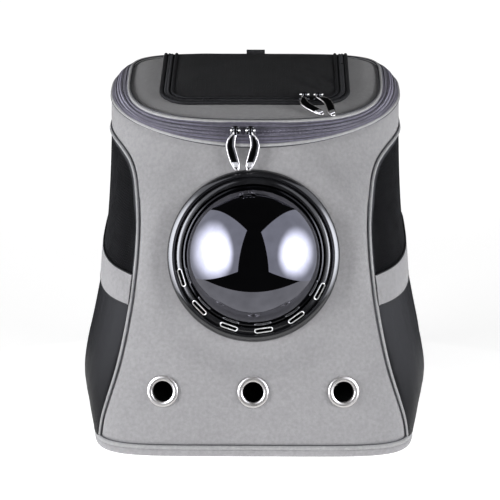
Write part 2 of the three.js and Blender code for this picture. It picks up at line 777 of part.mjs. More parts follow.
function lidZip() {
  const edge = lidPipingRadius + clearance + facetGap;
  const half = coilWidth / 2 + clearance + facetGap / 2;
  addMesh('zip_tape_lower', rimStrip(0, 0.5, edge, half), paints.tape);
  addMesh('zip_tape_upper', rimStrip(0.5, 1, half, edge), paints.tape);
  const coilOuts = lidTurns.map((turn) => rimNormal(turn, 0.5));
  addMesh('zip_coil', cord(framesOf(coilCentres, coilOuts, true), coilWidth / 2, coilSides, true), paints.coil);
  [['lid_piping_lower', 0], ['lid_piping_upper', 1]].forEach(([name, share]) => {
    const centres = lidTurns.map((turn) => offRim(turn, share, pipingProud - lidPipingRadius));
    const outs = lidTurns.map((turn) => rimNormal(turn, share));
    addMesh(name, cord(framesOf(centres, outs, true), lidPipingRadius, 5, true), paints.piping);
  });
}

const lidMiddle = new THREE.Vector2(0, (topSection.front * bagDepth + lidFrontInset + backFace - lidBackInset) / 2);

// Height of the lid's top face over a place in plan
function lidTop(x, y) {
  const turn = THREE.MathUtils.radToDeg(Math.atan2(x, topSection.widest * bagDepth - y));
  const edge = rimPoint(turn, 1);
  const origin = new THREE.Vector2(0, topSection.widest * bagDepth);
  const share = Math.hypot(x, y - origin.y) / Math.hypot(edge.x, edge.y - origin.y);
  return zipPlane(y) + rimRise + lidCrown * (1 - Math.min(share, 1) ** 2);
}

function lidPanel() {
  const inset = 2 * lidPipingRadius - pipingProud + clearance + facetGap;
  const ring = (share, lift) => lidTurns.map((turn) => {
    const plan = lidOutline(turn, inset).sub(lidMiddle).multiplyScalar(share).add(lidMiddle);
    return new THREE.Vector3(plan.x, plan.y, lidTop(plan.x, plan.y) + lift);
  });
  const centre = (lift) => [new THREE.Vector3(lidMiddle.x, lidMiddle.y, lidTop(lidMiddle.x, lidMiddle.y) + lift)];
  const low = [0.5, 0.8, 1].map((share) => ring(share, -lidWall));
  const high = [1, 0.8, 0.5].map((share) => ring(share, 0));
  addMesh('lid_panel', loft([centre(-lidWall), ...low, ...high, centre(0)], false), paints.fabric);
}

const flapBack = backFace - lidBackInset - flapBackGap;
const flapFront = flapBack - flapLength;

// Edge of the flap in plan, inset from its outline: back left, round the front and up to back right
function flapEdge(inset) {
  const half = flapWidth / 2 - inset;
  const front = flapFront + inset;
  const corner = flapCorner - inset;
  const spots = sheetShares(3).slice(0, 3).map((share) => new THREE.Vector2(-half, mix(flapBack, front + corner, share)));
  [-1, 1].forEach((sign) => {
    const angles = sheetShares(5).map((share) => radians(90 * (sign < 0 ? share : 1 - share)));
    angles.forEach((angle) => {
      const x = sign * (half - corner + corner * Math.cos(angle));
      spots.push(new THREE.Vector2(x, front + corner - corner * Math.sin(angle)));
    });
    if (sign < 0) spots.push(new THREE.Vector2(0, front));
  });
  sheetShares(3).slice(1).forEach((share) => spots.push(new THREE.Vector2(half, mix(front + corner, flapBack, share))));
  return spots;
}

const onLid = (spot, lift) => new THREE.Vector3(spot.x, spot.y, lidTop(spot.x, spot.y) + lift);

function flap() {
  const low = clearance + flapLift;
  const strip = (outerInset, innerInset) => {
    const outer = flapEdge(outerInset);
    const inner = flapEdge(innerInset);
    const rows = (lift) => [outer, inner].map((edge) => edge.map((spot) => onLid(spot, lift)));
    return slab(rows(low + flapWall), rows(low));
  };
  const half = flapZipWidth / 2;
  const coil = flapCoilWidth / 2 + clearance;
  addMesh('flap_zip_tape_outer', strip(0, half - coil), paints.black);
  addMesh('flap_zip_tape_inner', strip(half + coil, flapZipWidth), paints.black);
  const path = flapEdge(half);
  const centres = path.map((spot) => onLid(spot, low + flapWall));
  const outs = path.map(() => new THREE.Vector3(0, 0, 1));
  addMesh('flap_zip_coil', cord(framesOf(centres, outs, false), flapCoilWidth / 2, coilSides, false), paints.coil);
  const edge = flapEdge(flapZipWidth + clearance);
  const columns = edge.length;
  const sheet = (lift) => sheetShares(3).map((share) => edge.map((spot, i) => {
    const back = new THREE.Vector2(mix(edge[0].x, edge[columns - 1].x, i / (columns - 1)), flapBack);
    return onLid(spot.clone().lerp(back, share * 0.999), lift);
  }));
  addMesh('top_flap', slab(sheet(low + flapWall), sheet(low)), paints.black);
}

// Webbing tab that stands behind the flap
function flapTab() {
  const place = flapBack + clearance + flapTabWall / 2;
  const tab = new THREE.BoxGeometry(flapTabWidth, flapTabWall, flapTabHeight);
  const base = onLid(new THREE.Vector2(0, place), 0);
  const low = slope * flapTabWall / 2 + clearance;
  addMesh('flap_tab', tab, paints.black).position.set(0, place, base.z + low + flapTabHeight / 2);
}

// Dome, its clamping rings and the vents through the inner ring
function dome() {
  const sphere = (domeRadius ** 2 + domeDepth ** 2) / (2 * domeDepth);
  const arc = (radius, count) => sheetShares(count).map((share) => {
    const start = Math.asin(Math.min(domeRadius / sphere, 1));
    const angle = share * (domeDepth > domeRadius ? Math.PI - start : start);
    return [radius * Math.sin(angle), domeDepth - sphere + radius * Math.cos(angle)];
  });
  const outer = arc(sphere, 7);
  const inner = arc(sphere - domeWall, 5).reverse();
  const shell = turned([...outer, ...inner].reverse());
  addMesh('dome', seated(shell, domeSeat, domeAxis), paints.mirror);
  const skirt = turned([
    [ringInnerRadius, -sleeveDepth],
    [ringSplitRadius, -sleeveDepth],
    [ringSplitRadius, 0.28 * ringHeight],
    [ringInnerRadius, 0.62 * ringHeight],
  ]);
  const vents = Array.from({ length: ventCount }, (_, i) => {
    const round = ventWidth / 2;
    const slot = new THREE.Shape();
    slot.absarc((ventLength - ventWidth) / 2, 0, round, -Math.PI / 2, Math.PI / 2, false);
    slot.absarc(-(ventLength - ventWidth) / 2, 0, round, Math.PI / 2, 3 * Math.PI / 2, false);
    const tool = new THREE.ExtrudeGeometry(slot, { depth: 30, bevelEnabled: false, curveSegments: 3 });
    const angle = radians(ventStart + ventPitch * i);
    const middle = (ringInnerRadius + ringSplitRadius) / 2;
    tool.translate(0, middle, -15).rotateZ(angle - Math.PI / 2);
    return tool;
  });
  addMesh('dome_ring_inner', seated(cut(skirt, vents), domeSeat, domeAxis), paints.plastic);
  const inside = ringSplitRadius + clearance;
  const ring = turned([
    [inside, clearance],
    [ringOuterRadius, clearance],
    [ringOuterRadius, 0.45 * ringHeight],
    [mix(inside, ringOuterRadius, 0.75), 0.9 * ringHeight],
    [mix(inside, ringOuterRadius, 0.45), ringHeight],
    [mix(inside, ringOuterRadius, 0.12), 0.8 * ringHeight],
    [inside, 0.45 * ringHeight],
  ]);
  addMesh('dome_ring_outer', seated(ring, domeSeat, domeAxis), paints.plastic);
}

function eyelets() {
  const names = ['left', 'middle', 'right'];
  eyeletSeats.forEach(({ seat, axis }, i) => {
    const ring = turned([
      [eyeletHole, -sleeveDepth],
      [eyeletHole + sleeveWall - clearance, -sleeveDepth],
      [eyeletHole + sleeveWall - clearance, clearance + facetGap],
      [eyeletRadius, clearance + facetGap],
      [mix(eyeletHole, eyeletRadius, 0.75), eyeletLip],
      [mix(eyeletHole, eyeletRadius, 0.35), eyeletLip],
      [eyeletHole, 0.3 * eyeletLip],
    ], eyeletSegments);
    addMesh(`eyelet_${names[i]}`, seated(ring, seat, axis), paints.chrome);
  });
}

// Slider in its own frame: the origin on its pin, the zip along X, outwards -Y
function slider(name, parent) {
  const earRise = pinRadius + 0.6;
  const earDepth = earRise + pinRise + sliderWall / 2;
  const earSide = (sliderLength - earWall) / 2 - 0.4;
  const ear = (sign) => new THREE.BoxGeometry(earWall, earDepth, 4 * pinRadius)
    .translate(sign * earSide, earDepth / 2 - earRise, 0);
  const plate = new THREE.BoxGeometry(sliderLength, sliderWall, sliderWidth);
  plate.translate(0, pinRise + sliderWall / 2, 0);
  const pin = new THREE.CylinderGeometry(pinRadius, pinRadius, 2 * earSide, 8).rotateZ(Math.PI / 2);
  addMesh(name, join([plate, ear(-1), ear(1), pin]), paints.chrome, parent);
}

// Puller hanging to -Z from its knuckle, its blade turned in its own plane
function puller(name, parent, mirror, turn = 0) {
  const edge = (side) => pullerSections.map((row) => new THREE.Vector2(
    pullerWidth * (mirror * row.middle + side * row.width / 2), -row.down * pullerLength));
  const leftSide = edge(-1);
  const rightSide = edge(1).reverse();
  const shape = new THREE.Shape();
  shape.moveTo(leftSide[0].x, leftSide[0].y);
  [...leftSide.slice(1), ...rightSide].forEach((corner) => shape.lineTo(corner.x, corner.y));
  const blade = new THREE.ExtrudeGeometry(shape, { depth: pullerWall, bevelEnabled: false });
  blade.translate(0, neckLength, -pullerWall / 2).rotateZ(radians(turn)).translate(0, -neckLength, 0);
  blade.rotateX(Math.PI / 2);
  const neck = new THREE.BoxGeometry(pullerSections[0].width * pullerWidth, pullerWall, neckLength);
  neck.translate(0, 0, -neckLength / 2 - pinRadius);
  const knuckle = new THREE.CylinderGeometry(knuckleRadius, knuckleRadius, knuckleWidth, 10).rotateZ(Math.PI / 2);
  const boreRadius = pinRadius + clearance;
  const bore = new THREE.CylinderGeometry(boreRadius, boreRadius, 2 * knuckleWidth, 8).rotateZ(Math.PI / 2);
  addMesh(name, cut(join([blade, neck, knuckle]), [bore]), paints.chrome, parent);
}

// Group at a place with X along a zip or pin, Y into the cloth and Z away from the puller
function placed(origin, across, into) {
  const x = across.clone().addScaledVector(into, -across.dot(into)).normalize();
  const z = x.clone().cross(into);
  const place = new THREE.Group();
  place.setRotationFromMatrix(new THREE.Matrix4().makeBasis(x, into, z));
  place.position.copy(origin);
  group.add(place);
  return place;
}

const pinHeight = pinRise + sliderWall + clearance;
const acrossBag = new THREE.Vector3(1, 0, 0);

// Lean of a front puller whose blade lies against the crest of the outer ring
function restingLean(pin) {
  const crest = domeSeat.clone().addScaledVector(domeRising, mix(ringSplitRadius, ringOuterRadius, 0.6));
  crest.addScaledVector(domeAxis, ringHeight);
  const fall = pin.z - crest.z;
  const out = pin.y - crest.y;
  return Math.atan2(out, fall) + Math.asin((pullerWall / 2 + clearance) / Math.hypot(out, fall));
}

function frontSliders() {
  sides.forEach((side) => {
    const x = frontSliderSide + side.sign * frontSliderGap / 2;
    const out = rimNormal(0, 0.5);
    const pin = coilAt(x).addScaledVector(out, coilFlat * coilWidth / 2 + pinHeight);
    slider(`zip_slider_${side.name}`, placed(pin, acrossBag, out.clone().negate()));
    const lean = restingLean(pin);
    const into = new THREE.Vector3(0, Math.cos(lean), -Math.sin(lean));
    puller(`zip_puller_${side.name}`, placed(pin, acrossBag, into), -side.sign);
  });
}

function flapSliders() {
  const lidOut = new THREE.Vector3(0, -slope, 1).normalize();
  const onZip = clearance + flapLift + flapWall + coilFlat * flapCoilWidth / 2;
  const dip = Math.asin((onZip + pinHeight - pullerWall / 2 - flapPullerRest) / pullerLength);
  sides.forEach((side) => {
    const x = flapSliderSide + side.sign * flapSliderGap / 2;
    const spot = new THREE.Vector2(x, flapFront + flapZipWidth / 2);
    const pin = onLid(spot, onZip).addScaledVector(lidOut, pinHeight);
    slider(`flap_slider_${side.name}`, placed(pin, acrossBag, lidOut.clone().negate()));
    const into = lidOut.clone().negate().applyAxisAngle(acrossBag, dip);
    puller(`flap_puller_${side.name}`, placed(pin, acrossBag, into), -side.sign, flapPullerTurn);
  });
}

// Padded shoulder strap, its adjuster and the webbing down to the foot of the back panel
function shoulderStrap(side) {
  const x = side.sign * strapSpacing / 2;
  const rings = strapStations.map((row) => {
    const halfWidth = row.width * strapWidth / 2;
    const halfWall = row.wall * strapWall / 2;
    const y = backFace + clearance + halfWall + row.out * strapReach;
    const round = halfWidth - 0.8 * halfWall;
    const corners = [[halfWidth, 0.4], [round, 1], [-round, 1], [-halfWidth, 0.4],
      [-halfWidth, -0.4], [-round, -1], [round, -1], [halfWidth, -0.4]];
    return corners.map(([u, v]) => new THREE.Vector3(x + u, y + v * halfWall, strapTop - row.down * strapDrop));
  });
  addMesh(`shoulder_strap_${side.name}`, loft(rings, false), paints.black);
  const end = strapStations[strapStations.length - 1];
  const reach = backFace + clearance + end.wall * strapWall / 2 + end.out * strapReach;
  const high = strapTop - strapDrop - clearance;
  const slant = adjusterHeight / 4;
  const frame = new THREE.Shape();
  frame.moveTo(-adjusterWidth / 2, slant).lineTo(-adjusterWidth / 2 + slant, 0);
  frame.lineTo(adjusterWidth / 2 - slant, 0).lineTo(adjusterWidth / 2, slant);
  frame.lineTo(adjusterWidth / 2, adjusterHeight).lineTo(-adjusterWidth / 2, adjusterHeight);
  const plate = new THREE.ExtrudeGeometry(frame, { depth: adjusterWall, bevelEnabled: false });
  plate.rotateX(Math.PI / 2).translate(x, reach + adjusterWall / 2, high - adjusterHeight);
  addMesh(`strap_adjuster_${side.name}`, plate, paints.plastic);
  const top = high - adjusterHeight - clearance;
  const ribbon = webbingStations.map((row) => {
    const y = mix(reach, backFace + clearance + webbingWall / 2, row.back);
    const z = mix(top, webbingFoot, row.down);
    const corners = [[1, 1], [-1, 1], [-1, -1], [1, -1]];
    return corners.map(([u, v]) => new THREE.Vector3(x + u * webbingWidth / 2, y + v * webbingWall / 2, z));
  });
  addMesh(`strap_webbing_${side.name}`, loft(ribbon, false), paints.black);
}

frontPanel();
sides.forEach((side) => {
  sidePanels(side);
  sidePocket(side);
  sideBand(side);
  seamPiping(side);
});
backPanel();
basePanel();
basePiping();
lidZip();
lidPanel();
flap();
flapTab();
dome();
eyelets();
frontSliders();
flapSliders();
sides.forEach(shoulderStrap);

export default group;
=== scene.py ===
"""Dressed model of a soft bubble backpack for carrying a small pet.

Metres, +Z up, the front faces -Y, and the origin is on the ground under the middle of the base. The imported
solids are the frame: every piece here lies on the same named sizes and rides on one of the frame's bodies.
"""

from __future__ import annotations

import json
import logging
import math
from dataclasses import dataclass
from enum import Enum
from functools import cached_property
from typing import Callable, Iterable, Sequence

import bmesh
import bpy
import numpy as np
from mathutils import Matrix, Vector

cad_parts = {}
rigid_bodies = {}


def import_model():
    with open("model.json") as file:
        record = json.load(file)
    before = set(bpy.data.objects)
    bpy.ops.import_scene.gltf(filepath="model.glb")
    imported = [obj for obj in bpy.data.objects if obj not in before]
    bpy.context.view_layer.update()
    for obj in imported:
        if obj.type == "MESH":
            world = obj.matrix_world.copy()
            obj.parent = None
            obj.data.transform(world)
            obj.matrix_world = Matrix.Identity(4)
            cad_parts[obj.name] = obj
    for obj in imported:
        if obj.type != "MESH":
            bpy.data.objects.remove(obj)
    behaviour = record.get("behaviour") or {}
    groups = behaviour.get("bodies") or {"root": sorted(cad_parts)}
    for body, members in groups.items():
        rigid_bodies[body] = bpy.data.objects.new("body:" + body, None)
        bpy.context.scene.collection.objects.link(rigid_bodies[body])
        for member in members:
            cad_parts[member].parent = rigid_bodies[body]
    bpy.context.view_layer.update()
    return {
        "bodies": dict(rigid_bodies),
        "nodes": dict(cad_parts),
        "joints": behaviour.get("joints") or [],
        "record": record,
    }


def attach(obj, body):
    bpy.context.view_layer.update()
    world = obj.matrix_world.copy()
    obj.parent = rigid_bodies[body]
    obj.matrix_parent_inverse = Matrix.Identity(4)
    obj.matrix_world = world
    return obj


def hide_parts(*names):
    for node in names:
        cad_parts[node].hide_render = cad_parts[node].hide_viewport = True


log = logging.getLogger("bag")

Spots = np.ndarray
Pair = tuple[Spots, Spots]
Piece = bpy.types.Object
Place = Callable[[Spots, Spots], Pair]
Colour = tuple[float, float, float]

MM = 0.001
CLEARANCE = 0.3 * MM
WELD = 1e-6
SHELL = "shell"
ACROSS = np.array([1.0, 0, 0])

# A point inside the bag that the outer face of every cloth looks away from
HEART = np.array([0, 0.03, 0.15])


class Side(Enum):
    """The two sides of the bag, as seen from the front."""

    LEFT = -1
    RIGHT = 1

    @property
    def tag(self) -> str:
        """Ending of the side's node names."""
        return self.name.lower()


@dataclass(frozen=True)
class BodySection:
    """Plan section of the body, in shares of the bag's sizes, and the turn of its back seam."""

    up: float
    width: float
    front: float
    widest: float
    square: float
    back_square: float
    back_seam: float


@dataclass(frozen=True)
class Station:
    """A place along a table and the value there."""

    at: float
    value: float


def stations(*rows: tuple[float, float]) -> tuple[Station, ...]:
    """Table of places and values."""
    return tuple(Station(*row) for row in rows)


BODY_SECTIONS = (
    BodySection(0.00, 1.000, -0.500, 0.036, 6.0, 4.5, 125),
    BodySection(0.15, 0.994, -0.464, 0.064, 5.0, 4.4, 123),
    BodySection(0.35, 0.974, -0.414, 0.104, 4.2, 4.2, 120),
    BodySection(0.55, 0.954, -0.361, 0.154, 3.5, 4.0, 118),
    BodySection(0.75, 0.937, -0.316, 0.196, 2.8, 3.8, 115),
    BodySection(0.90, 0.931, -0.282, 0.225, 2.2, 3.7, 113),
    BodySection(1.00, 0.929, -0.261, 0.243, 1.95, 3.6, 112),
)

# Side seam: share of the height, and degrees round from the front
SEAM_STATIONS = (
    (0.000, 55.0), (0.060, 54.4), (0.140, 52.2), (0.240, 49.6), (0.360, 47.7), (0.500, 46.3), (0.620, 45.9),
    (0.720, 46.9), (0.800, 49.7), (0.850, 52.7), (0.883, 57.0), (0.902, 64.0), (0.907, 72.0), (0.900, 86.0),
    (0.893, 99.0), (0.888, 112.0),
)

# Middle line of the side band: share of the way back, and share of the height
BAND_LINE = stations((0.0, 0.508), (0.5, 0.527), (1.0, 0.540))

# Swell of the pocket from its foot to its mouth
POCKET_SWELL = stations((0.0, 0.14), (0.12, 0.62), (0.26, 1.0), (0.42, 0.88), (0.63, 0.46), (0.82, 0.12),
                        (1.0, 0.05))


def along(rows: Sequence, place: Spots | float, key: str = "at", column: str = "value") -> Spots:
    """Smooth value of a table's column at places along its key column.

    Args:
        rows: The table's rows, in the order of their key.
        place: One place or many.
        key: The column that the places are counted in.
        column: The column that is read.

    Returns:
        The values, in the shape of the places.
    """
    keys = np.array([getattr(row, key) for row in rows], float)
    values = np.array([getattr(row, column) for row in rows], float)
    last = len(keys) - 1
    at = np.clip(place, keys[0], keys[-1])
    low = np.clip(np.searchsorted(keys, at, side="right") - 1, 0, last - 1)
    before, after = np.maximum(np.arange(last + 1) - 1, 0), np.minimum(np.arange(last + 1) + 1, last)
    slope = (values[after] - values[before]) / (keys[after] - keys[before])
    span = keys[low + 1] - keys[low]
    t = (at - keys[low]) / span
    start = (1 + 2 * t) * (1 - t) ** 2 * values[low] + t * (1 - t) ** 2 * span * slope[low]
    return start + t * t * (3 - 2 * t) * values[low + 1] + t * t * (t - 1) * span * slope[low + 1]


def mix(low: Spots | float, high: Spots | float, share: Spots | float) -> Spots | float:
    """Value a share of the way from low to high."""
    return low + (high - low) * share


def smooth(low: float, high: float, value: Spots | float) -> Spots:
    """Soft step from 0 at low to 1 at high."""
    t = np.clip((value - low) / (high - low), 0, 1)
    return t * t * (3 - 2 * t)


def nth(share: Spots, count: int) -> Spots:
    """Index of the step at a share of the way."""
    return np.rint(share * count).astype(int)


def unit(arrows: Spots) -> Spots:
    """The arrows at length 1."""
    return arrows / np.maximum(np.linalg.norm(arrows, axis=-1, keepdims=True), 1e-12)


def dot(a: Spots, b: Spots) -> Spots:
    """Dot products of two lists of arrows."""
    return (a * b).sum(-1)


def outline(turn: Spots, half: Spots, front: Spots, back: float, middle: Spots, square: Spots,
            rear: Spots) -> Spots:
    """Plan outline round (0, middle) at turns from the front, in degrees.

    Args:
        turn: Degrees round from the front, + towards +X.
        half: Half width.
        front: Y of the front.
        back: Y of the back.
        middle: Y of the widest place.
        square: How square the front corners are.
        rear: How square the back corners are.

    Returns:
        X and Y of each place.
    """
    s, c = np.sin(np.radians(turn)), np.cos(np.radians(turn))
    depth = np.where(c > 0, middle - front, back - middle)
    power = np.where(c > 0, square, rear)
    reach = (np.abs(s) / half) ** power + (np.abs(c) / depth) ** power
    r = reach ** (-1 / power)
    return np.stack([r * s, middle - r * c], -1)


@dataclass(frozen=True)
class BagForm:
    """The bag's outer surface: turns round from the front in degrees, and shares of the height."""

    width: float = 348 * MM
    depth: float = 280 * MM
    zip_height: float = 329.5 * MM
    zip_place: float = -0.214
    lid_slope: float = 14
    seam_height: float = 10 * MM
    dome_radius: float = 76.6 * MM
    dome_height: float = 210 * MM
    dome_sink: float = 4 * MM
    ring_radius: float = 92.2 * MM
    dome_land: float = 13 * MM
    dome_shoulder: float = 0.42

    @cached_property
    def wall(self) -> float:
        """Height from the base seam to the zip."""
        return self.zip_height - self.seam_height

    @cached_property
    def slope(self) -> float:
        """Rise of the lid for each metre back."""
        return math.tan(math.radians(self.lid_slope))

    @cached_property
    def back(self) -> float:
        """Y of the back."""
        return self.depth / 2

    @cached_property
    def per_degree(self) -> float:
        """Metres of cloth for each degree round the side."""
        return math.radians(1) * self.width / 2

    def zip_plane(self, y: Spots) -> Spots:
        """Height of the zip's plane over a place along Y."""
        return self.zip_height + self.slope * (y - self.zip_place * self.depth)

    def plain(self, turn: Spots, up: Spots, inset: Spots | float = 0.0) -> Spots:
        """Surface before it is drawn flat round the dome.

        Args:
            turn: Degrees round from the front.
            up: Share of the height.
            inset: How far in from the surface.

        Returns:
            Places in metres.
        """
        turn, up = np.broadcast_arrays(np.asarray(turn, float), np.asarray(up, float))

        def value(column: str) -> Spots:
            return along(BODY_SECTIONS, up, "up", column)

        half = value("width") * self.width / 2 - inset
        plan = outline(turn, half, value("front") * self.depth + inset, self.back - inset,
                       value("widest") * self.depth, value("square"), value("back_square"))
        height = self.seam_height + up * (self.zip_plane(plan[..., 1]) - self.seam_height)
        return np.concatenate([plan, height[..., None]], -1)

    def up_at(self, height: float) -> float:
        """Share of the height at which the middle of the front reaches a height."""
        low, high = 0.0, 1.0
        for _ in range(40):
            middle = (low + high) / 2
            if self.plain(0, middle)[2] < height:
                low = middle
            else:
                high = middle
        return low

    @cached_property
    def rising(self) -> Spots:
        """Way up the front behind the dome."""
        up = self.up_at(self.dome_height)
        return unit(self.plain(0, up + 0.2) - self.plain(0, up - 0.2))

    @cached_property
    def dome_axis(self) -> Spots:
        """Way out of the dome."""
        return unit(np.cross([1, 0, 0], self.rising))

    @cached_property
    def dome_seat(self) -> Spots:
        """Middle of the dome's seat."""
        return self.plain(0, self.up_at(self.dome_height)) - self.dome_sink * self.dome_axis

    def point(self, turn: Spots, up: Spots, inset: float = 0.0) -> Spots:
        """Surface drawn flat under the dome's rings, and blended back round them.

        Args:
            turn: Degrees round from the front.
            up: Share of the height.
            inset: How far in from the surface.

        Returns:
            Places in metres.
        """
        place = self.plain(turn, up, inset)
        arm = place - self.dome_seat
        lift = dot(arm, self.dome_axis) + inset
        away = np.linalg.norm(arm - dot(arm, self.dome_axis)[..., None] * self.dome_axis, axis=-1)
        flat = self.ring_radius + self.dome_land
        fade = 1 - smooth(flat, flat + self.dome_shoulder * self.dome_radius, away)
        fade = np.where(np.abs(turn) < 90, fade, 0)
        return place - (lift * fade)[..., None] * self.dome_axis

    def normal(self, turn: Spots, up: Spots) -> Spots:
        """Outward direction of the surface."""
        low, high = np.maximum(up - 0.004, 0), np.minimum(up + 0.004, 1)
        rise = self.point(turn, high) - self.point(turn, low)
        run = self.point(turn + 0.4, (low + high) / 2) - self.point(turn - 0.4, (low + high) / 2)
        return unit(np.cross(run, rise))

    def off(self, turn: Spots, up: Spots, lift: Spots | float) -> Spots:
        """Place off the surface by a lift."""
        lift = np.broadcast_to(np.asarray(lift, float), np.broadcast(turn, up).shape)
        return self.point(turn, up) + self.normal(turn, up) * lift[..., None]

    def back_seam(self, up: Spots) -> Spots:
        """Turn of the back seam at a share of the height."""
        return along(BODY_SECTIONS, up, "up", "back_seam")


def smooth_path(corners: Spots, count: int) -> Spots:
    """Evenly spaced places along a smooth curve through corners.

    Args:
        corners: The places that the curve goes through.
        count: How many places to give.

    Returns:
        The places, the first and last corner among them.
    """
    ends = [2 * corners[0] - corners[1], *corners, 2 * corners[-1] - corners[-2]]
    run = []
    for a, b, c, d in zip(ends, ends[1:], ends[2:], ends[3:]):
        first, middle, last = (max(np.linalg.norm(q - p) ** 0.5, 1e-9) for p, q in ((a, b), (b, c), (c, d)))
        leave = middle * ((b - a) / first - (c - a) / (first + middle) + (c - b) / middle)
        reach = middle * ((c - b) / middle - (d - b) / (middle + last) + (d - c) / last)
        t = np.linspace(0, 1, 24, endpoint=False)[:, None]
        bend, twist = 3 * (c - b) - 2 * leave - reach, 2 * (b - c) + leave + reach
        run.append(b + leave * t + bend * t**2 + twist * t**3)
    line = np.concatenate([*run, corners[-1:]])
    return evenly(line, count)


def lengths(line: Spots) -> Spots:
    """Distance along a line at each of its places."""
    return np.concatenate([[0], np.cumsum(np.linalg.norm(np.diff(line, axis=0), axis=1))])


def evenly(line: Spots, count: int) -> Spots:
    """The line at evenly spaced places."""
    reach = lengths(line)
    at = np.linspace(0, reach[-1], count)
    return np.stack([np.interp(at, reach, line[:, k]) for k in range(line.shape[1])], 1)


@dataclass(frozen=True)
class Seam:
    """Side seam between the front panel and the sides, from the base to the back."""

    form: BagForm
    count: int = 400
    side_top: float = 0.85

    @cached_property
    def line(self) -> Spots:
        """Turn and share of the height at even steps."""
        form = self.form
        flat = np.array([[turn * form.per_degree, up * form.wall] for up, turn in SEAM_STATIONS])
        run = smooth_path(flat, self.count)
        return np.stack([run[:, 0] / form.per_degree, run[:, 1] / form.wall], 1)

    def edge(self, share: Spots, shift: float) -> Pair:
        """The seam moved over the cloth, towards the front panel where the shift is positive.

        Args:
            share: Shares of the way along the seam.
            shift: How far, in metres.

        Returns:
            Turns and shares of the height.
        """
        at = np.linspace(0, 1, self.count)
        form = self.form

        def spot(value: Spots) -> Pair:
            value = np.clip(value, 0, 1)
            return np.interp(value, at, self.line[:, 0]), np.interp(value, at, self.line[:, 1])

        turn, up = spot(share)
        low = np.maximum(up - 0.004, 0)
        per_turn = (form.point(turn + 0.2, up) - form.point(turn - 0.2, up)) / 0.4
        per_up = (form.point(turn, up + 0.004) - form.point(turn, low)) / (up + 0.004 - low)[..., None]
        way = unit(form.point(*spot(share + 0.01)) - form.point(*spot(share - 0.01)))
        aim = -shift * np.cross(way, form.normal(turn, up))
        shear, wide, tall = dot(per_turn, per_up), dot(per_turn, per_turn), dot(per_up, per_up)
        size = wide * tall - shear * shear
        turn_shift = (dot(aim, per_turn) * tall - dot(aim, per_up) * shear) / size
        up_shift = (dot(aim, per_up) * wide - dot(aim, per_turn) * shear) / size
        return turn + turn_shift, up + up_shift

    def share_at(self, up: float) -> float:
        """Share of the way along the seam where it first reaches a share of the height."""
        first = int(np.argmax(self.line[:, 1] > up))
        return first / (self.count - 1)

    def turn_at(self, up: Spots, shift: float) -> Spots:
        """Turn of the moved seam at shares of the height, up the front of the side."""
        turn, height = self.edge(np.linspace(0, self.share_at(self.side_top), 160), shift)
        return np.interp(up, height, turn)


